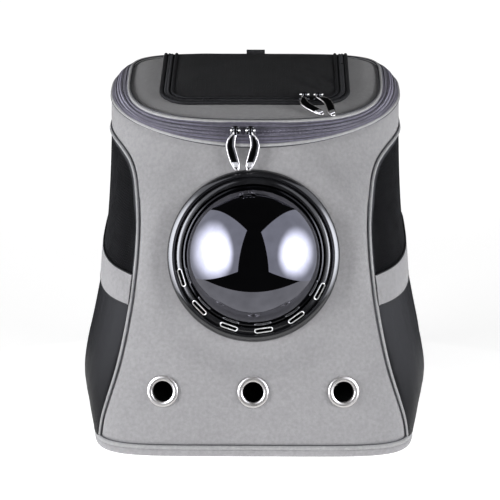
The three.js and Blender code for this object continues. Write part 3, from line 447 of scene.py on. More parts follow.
class Bench:
    """The workbench: laying, cutting and finishing pieces with Blender's own tools."""

    @staticmethod
    def clear() -> None:
        """Leaves edit mode and deselects everything."""
        if bpy.context.mode != "OBJECT":
            bpy.ops.object.mode_set(mode="OBJECT")
        bpy.ops.object.select_all(action="DESELECT")

    @staticmethod
    def pick(piece: Piece, *others: Piece) -> None:
        """Selects a piece and makes it the active one."""
        Bench.clear()
        for item in (piece, *others):
            item.select_set(True)
        bpy.context.view_layer.objects.active = piece

    @staticmethod
    def edit(piece: Piece, *steps: Callable[[], object]) -> None:
        """Runs edit-mode steps on a piece with everything in it selected."""
        Bench.pick(piece)
        bpy.ops.object.mode_set(mode="EDIT")
        bpy.ops.mesh.select_all(action="SELECT")
        for step in steps:
            step()
        bpy.ops.object.mode_set(mode="OBJECT")

    @staticmethod
    def merge(piece: Piece, within: float = WELD) -> None:
        """Joins the places that lie on each other."""
        Bench.edit(piece, lambda: bpy.ops.mesh.remove_doubles(threshold=within))

    @staticmethod
    def outwards(piece: Piece) -> None:
        """Turns the faces of a closed piece outwards."""
        Bench.edit(piece, lambda: bpy.ops.mesh.normals_make_consistent(inside=False))

    @staticmethod
    def finish(piece: Piece, kind: str, **settings: object) -> None:
        """Adds a modifier and applies it."""
        Bench.pick(piece)
        modifier = piece.modifiers.new(kind.lower(), kind)
        for key, value in settings.items():
            setattr(modifier, key, value)
        bpy.ops.object.modifier_apply(modifier=modifier.name)

    @staticmethod
    def soften(piece: Piece, degrees: float = 50) -> None:
        """Shades a piece smooth up to an angle."""
        Bench.pick(piece)
        bpy.ops.object.shade_smooth_by_angle(angle=math.radians(degrees))

    @staticmethod
    def spots(piece: Piece) -> Spots:
        """Places of a piece's mesh."""
        flat = np.empty(len(piece.data.vertices) * 3)
        piece.data.vertices.foreach_get("co", flat)
        return flat.reshape(-1, 3)

    @staticmethod
    def move(piece: Piece, spots: Spots) -> None:
        """Moves the places of a piece's mesh."""
        piece.data.vertices.foreach_set("co", np.asarray(spots, float).ravel())
        piece.data.update()

    @staticmethod
    def lay(name: str, columns: int, rows: int, place: Place, out: bool = False) -> Piece:
        """Lays a grid of cloth over a surface.

        Args:
            name: The piece's name.
            columns: Faces across.
            rows: Faces along.
            place: Gives places, and the flat cut in metres, for shares across and along.
            out: Whether its outer face is turned away from the middle of the bag.

        Returns:
            The cloth, open and without thickness.
        """
        cloth = Bench.start(name, bpy.ops.mesh.primitive_grid_add, x_subdivisions=columns,
                            y_subdivisions=rows, size=2)
        shares = np.clip((Bench.spots(cloth)[:, :2] + 1) / 2, 0, 1)
        spots, cut = place(shares[:, 0], shares[:, 1])
        corners = np.empty(len(cloth.data.loops), np.int32)
        cloth.data.loops.foreach_get("vertex_index", corners)
        cloth.data.uv_layers.active.data.foreach_set("uv", cut[corners].ravel())
        Bench.move(cloth, spots)
        if out:
            middles, arrows = np.empty((2, len(cloth.data.polygons), 3))
            cloth.data.polygons.foreach_get("center", middles.reshape(-1))
            cloth.data.polygons.foreach_get("normal", arrows.reshape(-1))
            if dot(arrows, middles - HEART).mean() < 0:
                Bench.edit(cloth, bpy.ops.mesh.flip_normals)
        return cloth

    @staticmethod
    def thicken(piece: Piece, wall: float, lining: bool = False) -> None:
        """Gives cloth its thickness inwards, with its inner face in the second material if it is lined."""
        Bench.finish(piece, "SOLIDIFY", thickness=wall, offset=-1.0, use_even_offset=False,
                     material_offset=int(lining))

    @staticmethod
    def cloth(name: str, columns: int, rows: int, place: Place, wall: float, degrees: float = 50,
              lining: bool = False, weld: bool = False) -> Piece:
        """Lays a finished sheet of cloth, face out.

        Args:
            name: The piece's name.
            columns: Faces across.
            rows: Faces along.
            place: Gives places and the flat cut, as lay does.
            wall: The cloth's thickness.
            degrees: The sharpest fold that is shaded smooth.
            lining: Whether its inner face has the second material.
            weld: Whether its ends meet.

        Returns:
            The cloth, with thickness.
        """
        piece = Bench.lay(name, columns, rows, place, out=True)
        if weld:
            Bench.merge(piece)
        Bench.thicken(piece, wall, lining)
        Bench.soften(piece, degrees)
        return piece

    @staticmethod
    def start(name: str, add: Callable[..., object], **settings: object) -> Piece:
        """Adds one of Blender's own shapes under a name."""
        Bench.clear()
        add(**settings)
        piece = bpy.context.object
        piece.name = name
        return piece

    @staticmethod
    def tube(name: str, line: Spots, outs: Spots, radius: float, sides: int = 10, closed: bool = False,
             flat: float = 1.0) -> Piece:
        """Lays a cord of round or flattened section along a line.

        Args:
            name: The piece's name.
            line: Places of its middle.
            outs: The way out of the surface at each place.
            radius: Its radius.
            sides: Faces round it.
            closed: Whether its ends meet.
            flat: Its height off the surface as a share of its width.

        Returns:
            The cord, closed.
        """
        if closed:
            way = unit(np.roll(line, -1, 0) - np.roll(line, 1, 0))
            line, outs, way = (np.concatenate([rows, rows[:1]]) for rows in (line, outs, way))
        else:
            way = unit(np.gradient(line, axis=0))
        out = unit(outs - dot(outs, way)[:, None] * way)
        side = np.cross(way, out)
        reach = lengths(line)

        def place(u: Spots, v: Spots) -> Pair:
            row = nth(u, len(line) - 1)
            angle = 2 * np.pi * v
            arm = flat * np.cos(angle)[:, None] * out[row] + np.sin(angle)[:, None] * side[row]
            cut = np.stack([reach[row], angle * radius], 1)
            return line[row] + arm * radius, cut

        cord = Bench.lay(name, len(line) - 1, sides, place)
        Bench.merge(cord)
        if not closed:
            Bench.edit(cord, lambda: bpy.ops.mesh.fill_holes(sides=sides))
        Bench.outwards(cord)
        Bench.soften(cord, 60)
        return cord

    @staticmethod
    def spin(name: str, section: Sequence[tuple[float, float]], steps: int = 96) -> Piece:
        """Turns a closed section of radii and heights round Z.

        Args:
            name: The piece's name.
            section: Radius and height of each corner.
            steps: Faces round.

        Returns:
            The turned ring, closed.
        """
        ring = Bench.start(name, bpy.ops.mesh.primitive_circle_add, vertices=len(section), radius=1)
        Bench.move(ring, np.array([[radius, 0, height] for radius, height in section]))
        Bench.edit(
            ring,
            lambda: bpy.ops.mesh.spin(steps=steps, angle=2 * math.pi, center=(0, 0, 0), axis=(0, 0, 1)),
            lambda: bpy.ops.mesh.select_all(action="SELECT"),
            lambda: bpy.ops.mesh.remove_doubles(threshold=WELD),
            lambda: bpy.ops.mesh.normals_make_consistent(inside=False),
        )
        return ring

    @staticmethod
    def box(name: str, size: tuple[float, float, float], centre: tuple[float, float, float], round_by: float,
            segments: int = 3) -> Piece:
        """Box with rounded edges.

        Args:
            name: The piece's name.
            size: Its length along each axis.
            centre: Its middle.
            round_by: Radius of its edges.
            segments: Faces across each rounded edge.

        Returns:
            The block, closed.
        """
        block = Bench.start(name, bpy.ops.mesh.primitive_cube_add, size=1)
        Bench.move(block, Bench.spots(block) * size + centre)
        Bench.finish(block, "BEVEL", width=round_by, segments=segments, limit_method="ANGLE")
        return block

    @staticmethod
    def join(piece: Piece, *others: Piece) -> Piece:
        """Makes one piece of several."""
        Bench.pick(piece, *others)
        bpy.ops.object.join()
        return piece

    @staticmethod
    def copies(piece: Piece, frames: Iterable[Matrix]) -> Piece:
        """Copies a modelled piece to each frame, as one piece.

        Args:
            piece: The piece, made round the origin.
            frames: Where each copy goes.

        Returns:
            The same object with all the copies in its mesh.
        """
        model = bmesh.new()
        model.from_mesh(piece.data)
        whole = bmesh.new()
        whole.loops.layers.uv.new("UVMap")
        spare = bpy.data.meshes.new("copy")
        for frame in frames:
            turned = model.copy()
            bmesh.ops.transform(turned, matrix=frame, verts=turned.verts)
            turned.to_mesh(spare)
            turned.free()
            whole.from_mesh(spare)
        whole.to_mesh(piece.data)
        model.free()
        whole.free()
        bpy.data.meshes.remove(spare)
        return piece


def frame_of(*arrows: Spots) -> Matrix:
    """Matrix of three axes and an origin."""
    return Matrix([[*map(float, row)] for row in np.stack(arrows, 1)] + [[0, 0, 0, 1]])


def frame_at(centre: Spots, across: Spots, out: Spots) -> Matrix:
    """Matrix with X across, Z out and its origin at a centre."""
    x = unit(across - dot(across, out) * out)
    return frame_of(x, np.cross(out, x), out, centre)


class Pattern(Enum):
    """How a cloth is woven."""

    OXFORD = "oxford"
    RIPSTOP = "ripstop"
    RIBBED = "ribbed"
    TWILL = "twill"


class Recipe:
    """A material being made: its nodes and the links between them."""

    def __init__(self, name: str) -> None:
        """Starts a material with a Principled shader and nothing linked to it."""
        self.material = bpy.data.materials.new(name)
        self.material.use_nodes = True
        self.tree = self.material.node_tree
        self.shader = self.tree.nodes["Principled BSDF"]

    def add(self, kind: str, **inputs: object) -> bpy.types.Node:
        """Adds a node; an input is a socket to link or a value to set.

        Args:
            kind: The node's type, without ShaderNode.
            inputs: Its inputs, with _ for spaces, or settings in capitals' lower case.

        Returns:
            The node.
        """
        node = self.tree.nodes.new("ShaderNode" + kind)
        for key, value in inputs.items():
            if hasattr(node, key) and key not in node.inputs:
                setattr(node, key, value)
                continue
            numbered = key[0] == "i" and key[1:].isdigit()
            self.feed(node.inputs[int(key[1:]) if numbered else key.replace("_", " ")], value)
        return node

    def feed(self, socket: bpy.types.NodeSocket, value: object) -> None:
        """Links a socket to another, or sets it."""
        if isinstance(value, bpy.types.NodeSocket):
            self.tree.links.new(value, socket)
        else:
            socket.default_value = value

    def sum(self, kind: str, a: object, b: object = 0.0) -> bpy.types.NodeSocket:
        """Result of a sum of one or two numbers."""
        return self.add("Math", operation=kind, i0=a, i1=b).outputs[0]

    def noise(self, place: bpy.types.NodeSocket, scale: float, detail: float = 3.0) -> bpy.types.NodeSocket:
        """Soft noise over a place."""
        return self.add("TexNoise", Vector=place, Scale=scale, Detail=detail, Roughness=0.55).outputs[0]

    def blend(self, share: object, low: Sequence[float], high: object) -> bpy.types.NodeSocket:
        """Colour a share of the way from low to high."""
        node = self.add("Mix", data_type="RGBA")
        self.feed(node.inputs[0], share)
        self.feed(node.inputs[6], (*low, 1.0) if isinstance(low, tuple) else low)
        self.feed(node.inputs[7], (*high, 1.0) if isinstance(high, tuple) else high)
        return node.outputs[2]

    def spread(self, value: object, low: float, high: float, to_low: float,
               to_high: float) -> bpy.types.NodeSocket:
        """A value's range stretched to another range."""
        node = self.add("MapRange")
        for index, number in enumerate((value, low, high, to_low, to_high)):
            self.feed(node.inputs[index], number)
        return node.outputs[0]

    def bump(self, height: object, distance: float, strength: float = 1.0) -> None:
        """Raises the surface by a height."""
        node = self.add("Bump", Height=height, Distance=distance, Strength=strength)
        self.feed(self.shader.inputs["Normal"], node.outputs[0])

    def set(self, **inputs: object) -> None:
        """Sets or links the shader's own inputs."""
        for key, value in inputs.items():
            self.feed(self.shader.inputs[key.replace("_", " ")], value)


@dataclass(frozen=True)
class Cloth:
    """A woven cloth that follows its own cut."""

    name: str
    colour: Colour
    fleck: Colour
    thread: float = 0.55 * MM
    pattern: Pattern = Pattern.OXFORD
    rough: float = 0.85
    sheen: float = 0.25
    relief: float = 0.12 * MM
    cell: float = 5 * MM
    shine: float = 0.15

    def make(self) -> bpy.types.Material:
        """Makes the material.

        Returns:
            The material, whose weave reads the piece's own cut.
        """
        recipe = Recipe(self.name)
        place = recipe.add("TexCoord").outputs
        cut = recipe.add("SeparateXYZ", Vector=place["UV"]).outputs
        wave = 2 * math.pi / self.thread
        across = recipe.sum("SINE", recipe.sum("MULTIPLY", cut[0], wave))
        down = recipe.sum("SINE", recipe.sum("MULTIPLY", cut[1], wave))
        weave = recipe.sum("MULTIPLY", across, down)
        if self.pattern is Pattern.RIBBED:
            weave = down
        if self.pattern is Pattern.TWILL:
            weave = recipe.sum("SINE", recipe.sum("MULTIPLY", recipe.sum("ADD", cut[0], cut[1]), wave))
        height = recipe.sum("MULTIPLY_ADD", weave, 0.5)
        if self.pattern is Pattern.RIPSTOP:
            lines = [recipe.sum("PINGPONG", recipe.sum("ADD", axis, 1.0), self.cell / 2) for axis in cut[:2]]
            near = recipe.sum("MINIMUM", *lines)
            grid = recipe.spread(near, 0.0, 0.45 * MM, 1.0, 0.0)
            height = recipe.sum("ADD", height, grid)
            weave = recipe.sum("MULTIPLY_ADD", grid, 1.6)
        mottle = recipe.noise(place["Object"], 260.0, 4.0)
        cloud = recipe.noise(place["Object"], 16.0)
        flecks = recipe.spread(mottle, 0.3, 0.7, 0.0, 0.62)
        shade = recipe.sum("ADD", flecks, recipe.spread(weave, -1, 1, 0.0, 0.38))
        colour = recipe.blend(shade, self.colour, self.fleck)
        worn = recipe.spread(cloud, 0.35, 0.65, 0.975, 1.025)
        dimmed = recipe.add("HueSaturation", Value=worn, Color=colour).outputs[0]
        rough = recipe.spread(mottle, 0.2, 0.8, self.rough - 0.06, self.rough + 0.06)
        recipe.set(Base_Color=dimmed, Roughness=rough)
        recipe.set(Sheen_Weight=self.sheen, Sheen_Roughness=0.45, Specular_IOR_Level=self.shine)
        recipe.bump(height, self.relief, 0.7)
        return recipe.material


@dataclass(frozen=True)
class Plastic:
    """Moulded plastic, with a faint moulding texture and wear in its gloss."""

    name: str
    colour: Colour
    rough: float
    grain: float = 0.02 * MM
    coat: float = 0.0
    shine: float = 0.5

    def make(self) -> bpy.types.Material:
        """Makes the material."""
        recipe = Recipe(self.name)
        place = recipe.add("TexCoord").outputs["Object"]
        grain = recipe.noise(place, 900.0, 2.0)
        cloud = recipe.noise(place, 45.0)
        lighter = tuple(min(channel * 1.7 + 0.002, 1) for channel in self.colour)
        recipe.set(Base_Color=recipe.blend(recipe.spread(cloud, 0.3, 0.7, 0, 1), self.colour, lighter))
        recipe.set(Roughness=recipe.spread(cloud, 0.3, 0.7, 0.75 * self.rough, 1.3 * self.rough))
        recipe.set(Coat_Weight=self.coat, Coat_Roughness=0.05)
        recipe.set(Specular_IOR_Level=self.shine)
        recipe.bump(grain, self.grain, 0.35)
        return recipe.material


@dataclass(frozen=True)
class Metal:
    """Plated metal, brighter or duller with handling."""

    name: str
    colour: Colour
    rough: float
    scratch: float = 0.01 * MM
    swirl: float = 0.02
    plating: float = 1.0

    def make(self) -> bpy.types.Material:
        """Makes the material."""
        recipe = Recipe(self.name)
        place = recipe.add("TexCoord").outputs["Object"]
        cloud = recipe.noise(place, 70.0, 4.0)
        fine = recipe.noise(place, 1500.0, 2.0)
        duller = tuple(0.86 * channel for channel in self.colour)
        recipe.set(Base_Color=recipe.blend(recipe.spread(cloud, 0.35, 0.65, 0, 1), duller, self.colour))
        recipe.set(Roughness=recipe.spread(cloud, 0.3, 0.7, self.rough, self.rough + self.swirl))
        recipe.set(Metallic=self.plating)
        recipe.bump(fine, self.scratch, 0.25)
        return recipe.material


class Finish(Enum):
    """The bag's finishes."""

    GREY = Cloth("grey_oxford", (0.235, 0.232, 0.240), (0.330, 0.326, 0.336), sheen=0.35)
    PIPING = Cloth("grey_piping_cloth", (0.26, 0.26, 0.265), (0.38, 0.38, 0.385), thread=0.7 * MM,
                   pattern=Pattern.TWILL, rough=0.6, sheen=0.3)
    TAPE = Cloth("zip_tape_cloth", (0.075, 0.070, 0.098), (0.14, 0.132, 0.175), thread=1.15 * MM,
                 pattern=Pattern.RIBBED, rough=0.75, relief=0.2 * MM)
    BLACK = Cloth("black_nylon", (0.0016, 0.0016, 0.0019), (0.005, 0.005, 0.0055), thread=0.6 * MM,
                  rough=0.48, sheen=0.0, shine=0.11)
    RIPSTOP = Cloth("black_ripstop", (0.0035, 0.0035, 0.004), (0.026, 0.026, 0.027), thread=0.6 * MM,
                    pattern=Pattern.RIPSTOP, rough=0.55, sheen=0.03, relief=0.15 * MM, cell=5.2 * MM)
    BINDING = Cloth("black_binding", (0.004, 0.004, 0.0045), (0.014, 0.014, 0.015), thread=0.8 * MM,
                    pattern=Pattern.RIBBED, rough=0.6, sheen=0.03)
    WEBBING = Cloth("black_webbing", (0.006, 0.006, 0.0065), (0.022, 0.022, 0.023), thread=1.6 * MM,
                    pattern=Pattern.TWILL, rough=0.55, sheen=0.05, relief=0.3 * MM)
    PADDING = Cloth("black_air_mesh", (0.005, 0.005, 0.0055), (0.024, 0.024, 0.025), thread=2.4 * MM,
                    rough=0.8, sheen=0.05, relief=0.5 * MM)
    LINING = Cloth("black_lining", (0.004, 0.004, 0.0045), (0.009, 0.009, 0.0095), rough=0.7, sheen=0.05)
    # Black sheet behind the net windows: painted shade for the inside of the bag
    NET_LINING = Cloth("black_fine_net", (0.0015, 0.0015, 0.002), (0.005, 0.005, 0.0055), thread=1.3 * MM,
                       rough=0.8, sheen=0.0, relief=0.3 * MM, shine=0.05)
    NET = Plastic("black_net_yarn", (0.003, 0.003, 0.0032), 0.62, 0.05 * MM, 0.0, 0.07)
    TEETH = Plastic("zip_teeth_nylon", (0.085, 0.080, 0.105), 0.38)
    BLACK_TEETH = Plastic("black_teeth_nylon", (0.016, 0.016, 0.017), 0.35)
    # Dark cords: painted shade in the grooves beside the pipings and between the zip tapes' ribs, and a dark
    # line along the foot of the base
    THREAD = Plastic("dark_thread", (0.012, 0.012, 0.014), 0.6, 0.05 * MM)
    GLOSS = Plastic("black_gloss_plastic", (0.006, 0.006, 0.007), 0.16, 0.004 * MM, 0.6)
    BUCKLE = Plastic("black_buckle_plastic", (0.008, 0.008, 0.0085), 0.32)
    MIRROR = Metal("tinted_mirror_plastic", (0.125, 0.125, 0.145), 0.02, 0.0, 0.012)
    CHROME = Metal("polished_metal_plate", (0.62, 0.60, 0.59), 0.17, 0.004 * MM, 0.06, 0.7)
    # Darkened copy of the chrome: on the puller blades it stands in for dark reflections (painted
    # reflection); slider bodies and knuckles share it
    DARK_CHROME = Metal("smoked_metal_plate", (0.10, 0.10, 0.105), 0.10, 0.004 * MM)
    SATIN = Metal("satin_metal_plate", (0.62, 0.61, 0.62), 0.34, 0.02 * MM, 0.08, 0.7)
    # Near-white plate on the vent lips and slider studs, standing in for their highlights: painted highlight
    LIP = Metal("bright_lip_plate", (0.95, 0.95, 0.95), 0.25, 0.004 * MM, 0.05, 0.35)


class Wardrobe:
    """Dresses pieces: gives each its material, its body and the solids that it stands for."""

    def __init__(self) -> None:
        """Makes every finish once."""
        self.materials = {finish: finish.value.make() for finish in Finish}

    def dress(self, piece: Piece, finish: Finish, slot: str, *nodes: str, body: str = SHELL,
              lining: Finish | None = None) -> Piece:
        """Finishes a piece and fixes it to the frame.

        Args:
            piece: The piece.
            finish: Its material.
            slot: The record's material slot; not used.
            nodes: The solids that it stands for.
            body: The body that it rides on.
            lining: The material of its inner face.

        Returns:
            The piece.
        """
        piece.data.materials.clear()
        piece.data.materials.append(self.materials[finish])
        if lining is not None:
            piece.data.materials.append(self.materials[lining])
        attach(piece, body)
        if nodes:
            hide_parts(*nodes)
        log.info("%s: %d faces on %s", piece.name, len(piece.data.polygons), body)
        return piece


def tuck(distance: Spots, depth: float, width: float) -> Spots:
    """Lift of padded cloth near a seam: drawn in at the seam, and level a few widths away."""
    return -depth * np.exp(-np.maximum(distance, 0) / width)


@dataclass(frozen=True)
class Assembly:
    """Part of the bag, laid on its form and dressed from one wardrobe."""

    form: BagForm
    wardrobe: Wardrobe

    def dress(self, piece: Piece, finish: Finish, slot: str, *nodes: str,
              lining: Finish | None = None) -> Piece:
        """Finishes a piece that rides on the shell."""
        return self.wardrobe.dress(piece, finish, slot, *nodes, lining=lining)


@dataclass(frozen=True)
class FrontPanel(Assembly):
    """Padded front with the yoke that runs round both shoulders, its seam pipings and its eyelets."""

    seam: Seam
    columns: int = 64
    rows: int = 66
    wing: int = 26
    yoke_rows: int = 16
    yoke_up: float = 0.78
    seam_gap: float = 1.1 * MM
    foot_gap: float = 1.6 * MM
    brim_gap: float = 1.0 * MM
    tuck_depth: float = 1.9 * MM
    tuck_width: float = 2.6 * MM
    ripple_from: float = 20 * MM
    ripple_depth: float = 0.28 * MM
    front_per_degree: float = 3.3 * MM
    cloth_wall: float = 3.2 * MM
    piping_radius: float = 1.7 * MM
    piping_lift: float = 0.05 * MM
    # Dark cords each side of the seam piping: painted shade in the seam's grooves
    edging_radius: float = 0.75 * MM
    edging_shift: float = 2.3 * MM
    edging_sink: float = 0.1 * MM
    dome_hole: float = 83.9 * MM
    sleeve: float = 2 * MM
    sleeve_depth: float = 5.2 * MM
    eyelet_radius: float = 17 * MM
    eyelet_hole: float = 11 * MM
    eyelet_height: float = 68 * MM
    eyelet_spacing: float = 96.7 * MM
    eyelet_lip: float = 2.9 * MM

    def ripple(self, spots: Spots) -> Spots:
        """Slight unevenness of cloth over foam."""
        x, z = spots[:, 0] / MM, spots[:, 2] / MM
        wave = np.sin(x / 23 + 1.3 * np.sin(z / 37)) * np.sin(z / 31 + 0.8 * np.sin(x / 41))
        return self.ripple_depth * wave

    def cut(self, turn: Spots, up: Spots) -> Spots:
        """Place in the flat cut."""
        return np.stack([turn * self.form.per_degree, up * self.form.wall], 1)

    def lifted(self, turn: Spots, up: Spots, distance: Spots) -> Pair:
        """Places of the padded cloth, and their cut."""
        flat = self.form.point(turn, up)
        ripple = self.ripple(flat) * np.clip(distance / self.ripple_from, 0, 1)
        lift = tuck(distance, self.tuck_depth, self.tuck_width) + ripple
        return self.form.off(turn, up, lift), self.cut(turn, up)

    def panel(self) -> Piece:
        """Lays the front and the yoke as one cloth, and cuts its openings.

        Returns:
            The panel, with thickness.
        """
        form, seam = self.form, self.seam
        bend = seam.share_at(self.yoke_up)
        foot = self.foot_gap / form.wall
        edge_turn, edge_up = seam.edge(np.linspace(0, 1, 300), self.seam_gap)
        below = int(np.argmax(edge_up > self.yoke_up))
        per_turn = self.front_per_degree

        def front(u: Spots, v: Spots) -> Pair:
            up = mix(foot, self.yoke_up, v)
            reach = np.interp(up, edge_up[: below + 1], edge_turn[: below + 1])
            share = 2 * u - 1
            distance = np.minimum((1 - np.abs(share)) * reach * per_turn, (up - foot) * form.wall + 0.4 * MM)
            return self.lifted(share * reach, up, distance)

        lower = Bench.lay("front_cloth", self.columns, self.rows, front, out=True)
        total = self.columns + 2 * self.wing
        wing_share = np.linspace(bend, 1, self.wing + 1)[1:]
        wing_turn, wing_up = seam.edge(wing_share, self.seam_gap)
        start = float(np.interp(self.yoke_up, edge_up[: below + 1], edge_turn[: below + 1]))
        centre = np.linspace(-start, start, self.columns + 1)
        base_turn = np.concatenate([-wing_turn[::-1], centre, wing_turn])
        base_up = np.concatenate([wing_up[::-1], np.full(self.columns + 1, self.yoke_up), wing_up])
        brim = 1 - self.brim_gap / form.wall

        def yoke(u: Spots, v: Spots) -> Pair:
            column = nth(u, total)
            low = base_up[column]
            up = mix(low, brim, v)
            turn = base_turn[column]
            at_end = (column == 0) | (column == total)
            turn = np.where(at_end, np.sign(turn) * form.back_seam(up), turn)
            sideways = np.maximum(0, start - np.abs(turn)) * per_turn
            rise = (up - low) * form.wall
            near_seam = np.where(np.abs(turn) <= start, np.hypot(sideways, rise), rise)
            back = (form.back_seam(up) - np.abs(turn)) * form.per_degree
            distance = np.minimum(np.minimum(near_seam, (brim - up) * form.wall), back + 0.5 * MM)
            return self.lifted(turn, up, distance)

        upper = Bench.lay("yoke_cloth", total, self.yoke_rows, yoke, out=True)
        panel = Bench.join(lower, upper)
        Bench.merge(panel, 2e-5)
        Bench.thicken(panel, self.cloth_wall, lining=True)
        for tool in self.tools():
            Bench.finish(panel, "BOOLEAN", object=tool, operation="DIFFERENCE", solver="EXACT")
            bpy.data.objects.remove(tool)
        Bench.soften(panel, 60)
        return panel

    def eyelet_seats(self) -> list[Pair]:
        """Middle and outward direction of each eyelet."""
        up = self.form.up_at(self.eyelet_height)
        seats = []
        for column in (-1, 0, 1):
            turn = 0.0
            for _ in range(30):
                short = column * self.eyelet_spacing - self.form.point(turn, up)[0]
                turn += short / (2 * self.form.per_degree)
            seats.append((self.form.point(turn, up), self.form.normal(turn, up)))
        return seats

    def tools(self) -> list[Piece]:
        """Round cutters for the dome and the eyelets."""
        holes = [(self.dome_hole + self.sleeve, self.form.dome_seat, self.form.dome_axis)]
        holes += [(self.eyelet_hole + self.sleeve, seat, axis) for seat, axis in self.eyelet_seats()]
        tools = []
        for radius, seat, axis in holes:
            tool = Bench.start("cutter", bpy.ops.mesh.primitive_cylinder_add, vertices=72, radius=radius,
                               depth=0.04)
            tool.data.transform(frame_at(seat, ACROSS, axis))
            tools.append(tool)
        return tools

    def piping(self, side: Side) -> None:
        """Light piping on a side seam, between two fine dark cords that are painted shade in the seam's
        grooves.
        """
        share = np.linspace(0.006, 1, 190)

        def line(shift: float, lift: float) -> Pair:
            turn, up = self.seam.edge(share, shift)
            up = np.maximum(up, 2.6 * MM / self.form.wall)
            return self.form.off(side.value * turn, up, lift), self.form.normal(side.value * turn, up)

        middle, outs = line(0.0, self.piping_lift)
        cord = Bench.tube(f"piping_{side.tag}", middle, outs, self.piping_radius, 12)
        self.dress(cord, Finish.PIPING, "grey_piping", f"seam_piping_{side.tag}")
        # Two dark cords beside the piping, painted shade where the seam's grooves fall dark
        for name, way in (("outer", 1), ("inner", -1)):
            path, outs = line(way * self.edging_shift, -self.edging_sink)
            dark_cord = Bench.tube(f"piping_edging_{name}_{side.tag}", path, outs, self.edging_radius, 6)
            self.dress(dark_cord, Finish.THREAD, "black_fabric")

    def eyelets(self) -> None:
        """Three turned metal eyelets."""
        for name, (seat, axis) in zip(("left", "middle", "right"), self.eyelet_seats()):
            hole, rim, lip, sleeve = self.eyelet_hole, self.eyelet_radius, self.eyelet_lip, self.sleeve
            curve = [(mix(hole, rim, 0.5 - 0.5 * math.cos(a)), mix(0.6 * MM, lip, math.sin(a) ** 0.8))
                     for a in np.linspace(0.12, math.pi - 0.02, 12)]
            section = [(hole, -self.sleeve_depth), (hole + sleeve - CLEARANCE, -self.sleeve_depth),
                       (hole + sleeve - CLEARANCE, 0.45 * MM), (rim - 0.4 * MM, 0.35 * MM), (rim, 0.7 * MM)]
            section += [spot for spot in curve[::-1] if spot[0] < rim - 0.2 * MM]
            section += [(hole, 0.2 * MM)]
            ring = Bench.spin(f"eyelet_ring_{name}", section, 72)
            ring.data.transform(frame_at(seat, ACROSS, axis))
            Bench.soften(ring, 50)
            self.dress(ring, Finish.CHROME, "polished_metal", f"eyelet_{name}")

    def build(self) -> None:
        """Builds and dresses the front."""
        panel = self.dress(self.panel(), Finish.GREY, "grey_fabric", "front_panel", lining=Finish.LINING)
        for side in Side:
            self.piping(side)
        self.eyelets()


